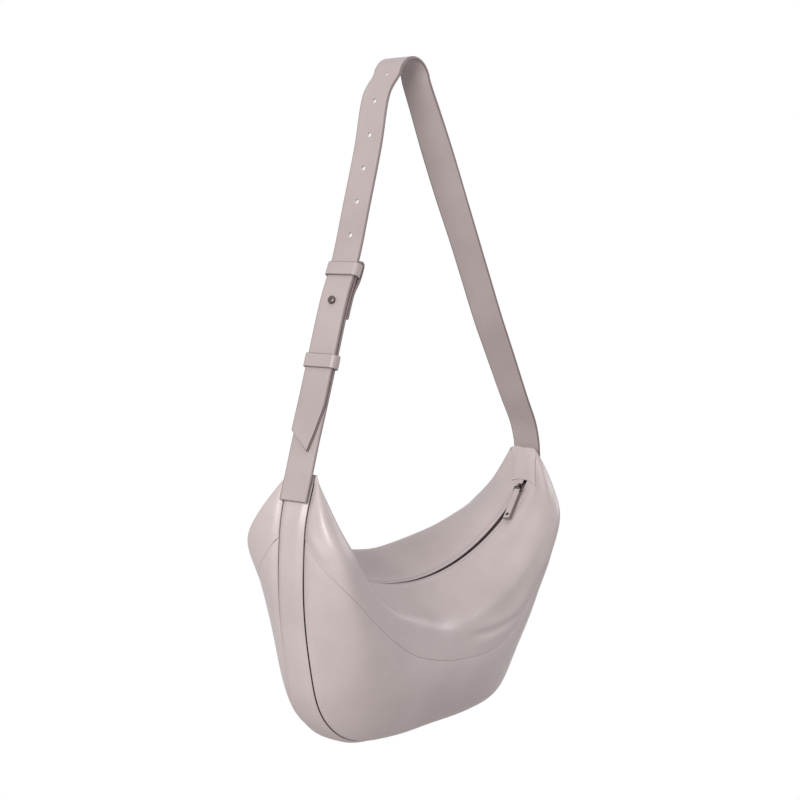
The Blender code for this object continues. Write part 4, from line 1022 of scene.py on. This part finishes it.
def strap_route():
    """The middle line of the long strap, from its tail up to the arch and down to its sewn end."""
    near, far = (np.array(shares)[:, [0, 0, 1]] * (strap_half_span, 0.0, strap_rise)
                 for shares in (near_route_shares, far_route_shares))
    turn = np.linspace(-strap_arch_turn, strap_arch_turn, arch_samples)
    arch = np.stack([strap_peg_offset + strap_arch_radius * np.sin(turn), np.zeros(arch_samples),
                     strap_rise - strap_arch_radius + strap_arch_radius * np.cos(turn)], axis=1)
    return np.concatenate([near, arch, far, end_lap(1, strap_thickness)])


def section_of(half_width, half_thickness, corner, crown=0.0):
    """The outline of a flat band with rounded edges, and which of its points lie on an edge."""
    quarter = np.linspace(0, math.pi / 2, 5)
    face = np.linspace(-1, 1, 9)[1:-1] * (half_width - corner)
    across, out = [], []
    for a, n in ((1, 1), (1, -1), (-1, -1), (-1, 1)):
        turn = quarter[::-a * n]
        across.append(a * (half_width - corner + corner * np.cos(turn)))
        out.append(n * (half_thickness - corner + corner * np.sin(turn)))
        if a != n:
            across.append(face[::n])
            out.append(np.full(len(face), n * half_thickness))
    across, out = np.concatenate(across), np.concatenate(out)
    edge = np.abs(across) > (half_width - corner) * 0.9
    return across, out + np.sign(out) * crown * (1 - (across / half_width)**2), edge


def band(line, half_width, thickness, twist=None, tailed=False, skived=None, corner=strap_corner,
         step=strap_step, crown=strap_crown):
    """A flat band along a line: a rounded outline is carried along it and closed at both ends. It may
    twist, start in the strap's pointed tail, and be skived at its start (0) or its end (1)."""
    across, out, edge = section_of(half_width, thickness / 2, corner, crown)
    lengths = np.linspace(0, line.length, max(8, int(line.length / step)))
    lengths = np.repeat(lengths[:, None], len(across), axis=1)
    if tailed:
        part = across / half_width - tail_tip
        shift = np.where(part > 0, tail_slant * part / (1 - tail_tip), -tail_taper * part / (1 + tail_tip))
        lengths = np.clip(lengths + shift * np.clip(1 - lengths / tail_reach, 0, 1), 0, line.length)
    centre, run, normal = line.at(lengths), line.run(lengths), line.out(lengths)
    width = np.broadcast_to(line.width, normal.shape)
    if twist:
        angle = twist(lengths)[..., None]
        width, normal = (width * np.cos(angle) + normal * np.sin(angle),
                         normal * np.cos(angle) - width * np.sin(angle))
    if skived is not None:
        out = out * (1 - skive_depth * eased(1 - np.abs(skived * line.length - lengths) / skive_length))
    points = centre + width * across[:, None] + normal * np.broadcast_to(out, lengths.shape)[..., None]
    # Both ends are rounded over by drawing their last rings in.
    closed = {}
    for index, sign in ((0, -1), (-1, 1)):
        way = run[index].mean(axis=0) * sign
        local = points[index] - centre[index]
        lift = (local * normal[index]).sum(axis=1, keepdims=True) * normal[index]
        closed[index] = []
        for degrees in cap_angles:
            a = math.radians(degrees)
            small = 1 - (1 - math.cos(a)) * corner / half_width
            thin = math.cos(a) * 0.85 + 0.15 * (1 - degrees / 90)
            closed[index].append(centre[index] + (local - lift) * small + lift * thin
                                 + way * corner * math.sin(a) * 0.8)
    return tube(np.concatenate([closed[0][::-1], points, closed[-1]]), edge)


def tube(points, edge):
    """A closed skin round rings of points, with the dark edge dye, partly painted shade, along its edges
    and over its ends. A cylinder's skin is laid onto them."""
    rings, size = points.shape[:2]
    clear_choice()
    bpy.ops.mesh.primitive_cylinder_add(vertices=size, radius=1.0, depth=2.0, end_fill_type="NGON")
    obj = bpy.context.object
    faces = [(i + k, i + (k + 1) % size, i + size + (k + 1) % size, i + size + k)
             for i in range(0, (rings - 1) * size, size) for k in range(size)]
    faces += [tuple(range(size))[::-1], tuple(range((rings - 1) * size, rings * size))]
    shaped(obj.data, points, faces)
    # Its edges and the closing rings at both ends take the dark edge dye: partly painted shade along the
    # strap edges and the tail's cut end.
    marks = np.append(np.tile(edge & np.roll(edge, -1), rings - 1), [True, True]).astype(np.int32)
    marks[:3 * size] = 1
    marks[-3 * size - 2:] = 1
    obj.data.polygons.foreach_set("material_index", marks)
    return obj


def build_straps():
    """Both straps, the keepers and the stud."""
    route = Line(strap_route())
    lower_shift = (strap_thickness + lower_strap_thickness) / 2 + strap_gap
    stud_at = route.length_at_height(stud_height)
    arch_top = route.length_at_height(strap_rise - strap_thickness)
    stations, values = np.array(twist_shares).T

    def twist(length):
        part = np.clip((length - arch_top) / (route.length - arch_top), 0, 1)
        return -strap_twist * curve_at(part.ravel(), stations, values[:, None]).reshape(part.shape)

    obj = band(route, strap_width / 2, strap_thickness * strap_drawn, twist, True, 1)
    punch(obj, route, stud_at + np.arange(hole_count) * hole_pitch)
    finished(obj, "long_strap_leather", "long_strap", strap_finish)

    # The lower strap runs up behind the long one, round the upper keeper and down behind itself.
    top = route.length_at_height(fold_height)
    eye = (keeper_wall + lower_strap_thickness) / 2 + keeper_clearance
    low = top - keeper_length - keeper_clearance
    close = lower_shift + lower_strap_thickness + strap_gap
    run, out = route.run(top), route.out(top)
    centre = route.beside(top, lower_shift + eye)
    points = list(end_lap(-1, lower_strap_thickness)[::-1])
    points += list(route.beside(np.arange(lap_blend, top, route_step), lower_shift))
    points += [centre + eye * leaned(out, run, angle) for angle in np.linspace(0.0, math.pi, 7)]
    points.append(route.beside(low, lower_shift + 2 * eye))
    points += list(route.beside(np.linspace(low - fold_taper, top - fold_length, 3), close))
    obj = band(Line(points), strap_width / 2, lower_strap_thickness * strap_drawn, skived=0)
    finished(obj, "lower_strap_leather", "lower_strap", strap_finish[:2])

    keeper(route, top - keeper_length / 2, lower_shift, "upper_keeper", "bag")
    slid = route.length_at_height(lower_keeper_height)
    keeper(route, slid, lower_shift, "lower_keeper", "sliding_keeper")

    place, out = route.at(stud_at), route.out(stud_at)
    head = profile_from(stud_head, strap_thickness / 2 + metal_gap)
    turned("strap_stud_head", place, out, [(0.0, -lower_shift), (head[0][0], -lower_shift)] + head,
           "strap_stud")
    foot = profile_from(screw_head, -(close + lower_strap_thickness / 2) - metal_gap)
    end = -lower_shift - metal_gap
    turned("stud_screw_back", place, out, foot + [(foot[-1][0], end), (0.0, end)], "stud_screw")


def punch(obj, line, places):
    """Punches a round hole through a strap at each place. Its wall takes the strap's third finish."""
    cutters = []
    for length in places:
        clear_choice()
        out = Vector(hang[:3, :3] @ line.out(length))
        bpy.ops.mesh.primitive_cylinder_add(
            vertices=hole_sides, radius=hole_radius, depth=strap_thickness * 3,
            location=hung(line.at(length)), rotation=out.to_track_quat("Z", "Y").to_euler())
        cutters.append(bpy.context.object)
        for mat in strap_finish:
            cutters[-1].data.materials.append(mat)
        for face in cutters[-1].data.polygons:
            face.material_index = 2
    clear_choice()
    for cutter in cutters:
        cutter.select_set(True)
    bpy.context.view_layer.objects.active = cutters[0]
    bpy.ops.object.join()
    for mat in strap_finish:
        obj.data.materials.append(mat)
    modified(obj, "BOOLEAN", object=cutters[0], operation="DIFFERENCE", solver="EXACT")
    bpy.data.objects.remove(cutters[0], do_unlink=True)


def keeper(line, length, lower_shift, name, body):
    """A keeper: a strip of leather closed to a loop round both straps."""
    high, low = strap_thickness / 2, -lower_shift - lower_strap_thickness / 2
    round_straps = keeper_clearance + keeper_wall / 2 - keeper_corner
    wide, tall = strap_width / 2 + round_straps, (high - low) / 2 + round_straps
    loop = []
    for start, a, n in ((0, 1, 1), (90, -1, 1), (180, -1, -1), (270, 1, -1)):
        turn = np.radians(np.linspace(start, start + 90, 7))
        loop += zip(a * wide + keeper_corner * np.cos(turn),
                    (high + low) / 2 + n * tall + keeper_corner * np.sin(turn))
    loop = np.array(loop + loop[:1])
    lengths = run_lengths(loop)
    loop = read_at(np.linspace(0, lengths[-1], keeper_samples + 1)[:-1], lengths, loop)
    ways = unit(np.gradient(np.concatenate([loop[-1:], loop, loop[:1]]), axis=0)[1:-1])
    side = np.stack([ways[:, 1], -ways[:, 0]], axis=1)
    across, thick, edge = section_of(keeper_length / 2, keeper_wall / 2, keeper_edge, keeper_crown)
    place = loop[:, None, :] + side[:, None, :] * thick[:, None]
    points = (line.at(length) + line.width * place[..., :1] + line.out(length) * place[..., 1:]
              + line.run(length) * across[:, None])
    count, size = points.shape[:2]
    clear_choice()
    bpy.ops.mesh.primitive_torus_add(major_segments=count, minor_segments=size, minor_radius=0.2)
    obj = bpy.context.object
    shaped(obj.data, points)
    for face in obj.data.polygons:
        # The keeper's edges take the dark edge dye, partly painted shade in the line under it.
        face.material_index = int(all(edge[v % size] for v in face.vertices))
    finished(obj, name + "_loop", name, strap_finish[:2], body=body)


def profile_from(rows, face):
    """A profile in metres, from one that is given in millimetres from a face."""
    return [(radius / 1000, face + height / 1000) for radius, height in rows]


def turned(name, place, axis, profile, replaced, body="bag", mat=fitting_metal):
    """A turned metal piece: its profile, radius and height, is spun about the axis."""
    level = np.array([0.0, 1.0, 0.0])
    across = unit(level - axis * (axis @ level))
    clear_choice()
    bpy.ops.mesh.primitive_circle_add(vertices=3, radius=1.0)
    obj = bpy.context.object
    shaped(obj.data, [place + across * radius + axis * height for radius, height in profile],
           edges=[(k, k + 1) for k in range(len(profile) - 1)])
    bpy.ops.object.mode_set(mode="EDIT")
    bpy.ops.mesh.select_all(action="SELECT")
    bpy.ops.mesh.spin(steps=spin_steps, angle=2 * math.pi, center=tuple(hung(place)),
                      axis=tuple(hang[:3, :3] @ axis))
    bpy.ops.mesh.select_all(action="SELECT")
    bpy.ops.mesh.remove_doubles(threshold=0.00001)
    bpy.ops.mesh.normals_make_consistent(inside=False)
    bpy.ops.object.mode_set(mode="OBJECT")
    faced_outwards(obj.data)
    finished(obj, name, replaced, [mat], body, 40)


# ---- Zip
def build_pull():
    """The leather pull, doubled round its link and held by a rivet."""
    place, run, across, up = zip_frame(zip_far_angle - slider_stop_back)
    hinge = place + up * pull_hinge_height
    level, side = leaned(-run, -across, pull_yaw), leaned(across, -run, pull_yaw)
    lie, rise = leaned(level, up, pull_lift), leaned(up, -level, pull_lift)
    eye = (pull_eye + pull_layer) / 2
    layer = (pull_layer + pull_gap) / 2
    link_end = pull_link_length - pull_wire
    end = link_end + pull_tab_length
    half = [(end, layer), (link_end + pull_tab_length / 2, layer), (link_end + 4 * eye, layer),
            (link_end + 2 * eye, eye * 0.8)]
    bend = [(link_end + eye * math.cos(turn), eye * math.sin(turn))
            for turn in np.linspace(math.pi * 0.5, math.pi * 1.5, 7)]
    points = half + bend + [(a, -h) for a, h in half][::-1]
    line = Line([hinge + lie * a + rise * h for a, h in points], side, 3)
    obj = band(line, pull_tab_width / 2, pull_layer, corner=pull_corner, step=pull_step, crown=0.0)
    finished(obj, "zip_pull_leather", "zip_pull_tab", body="pull")
    head = profile_from(rivet_head, layer + pull_layer / 2 + metal_gap)
    rivet = [(radius, -height) for radius, height in head[::-1]] + head
    turned("zip_pull_rivet_head", hinge + lie * (end - pull_rivet_inset), rise, rivet, "zip_pull_rivet",
           "pull", tooth_metal)


def dress_metal():
    """The zip's own metal pieces keep their CAD shape and get their finish."""
    teeth = "zip_teeth_front", "zip_teeth_back", "zip_stop_near", "zip_stop_far"
    for mat, names in ((tooth_metal, teeth), (fitting_metal, ("zip_slider", "zip_pull_link"))):
        for name in names:
            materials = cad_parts[name].data.materials
            materials.clear()
            materials.append(mat)


# ---- Stage
def placed(name, data):
    """A lamp or camera, put into the scene."""
    obj = bpy.data.objects.new(name, data)
    bpy.context.scene.collection.objects.link(obj)
    return obj


def build_stage():
    """A pale floor well below the bag, white surroundings, soft lamps and the camera."""
    clear_choice()
    bpy.ops.mesh.primitive_circle_add(vertices=96, radius=floor_radius, fill_type="NGON",
                                      location=(0.0, 0.0, floor_height))
    floor = bpy.context.object
    floor.name = "pale_floor"
    # Matt studio paper: an even pale grey without a pattern
    paper = new_material("pale_paper_floor")[0]
    floor.data.materials.append(shaded(paper, {"Base Color": hex_colour("dddbd9"), "Roughness": 0.9}))

    world = bpy.data.worlds.new("white_studio")
    bpy.context.scene.world = world
    world.use_nodes = True
    tree = world.node_tree
    tree.nodes.clear()
    # Seen directly, mirrored or through, the surroundings are white. They light the bag more weakly.
    path = node(tree, "LightPath").outputs
    seen = path["Is Camera Ray"]
    for ray in ("Is Glossy Ray", "Is Transmission Ray"):
        seen = node(tree, "Math", {"operation": "MAXIMUM"}, {0: seen, 1: path[ray]})
    around, white = (node(tree, "Background", {"Color": hex_colour("ffffff"), "Strength": strength})
                     for strength in (surround_strength, 1.0))
    mixed = node(tree, "MixShader", None, {0: seen, 1: around, 2: white})
    node(tree, "OutputWorld", None, {"Surface": mixed})

    for name, place, size, power in softboxes:
        lamp = bpy.data.lights.new(name, "AREA")
        lamp.shape = "SQUARE"
        lamp.size = size
        lamp.energy = power
        obj = placed(name, lamp)
        obj.location = stage_middle + Vector(place)
        obj.rotation_euler = Vector(place).to_track_quat("Z", "Y").to_euler()

    camera = bpy.data.cameras.new("camera")
    camera.lens = camera_lens
    camera.sensor_width = 36.0
    camera.clip_start = 0.05
    camera.clip_end = 50.0
    obj = placed("camera", camera)
    turn = Matrix((camera_right, camera_up, camera_behind)).transposed()
    obj.matrix_world = Matrix.Translation(camera_place) @ turn.to_4x4()
    bpy.context.scene.camera = obj
    bpy.context.scene.view_settings.view_transform = "Standard"


build_leather()
build_gusset()
build_facings()
build_linings()
build_tapes()
build_straps()
build_pull()
dress_metal()
build_stage()
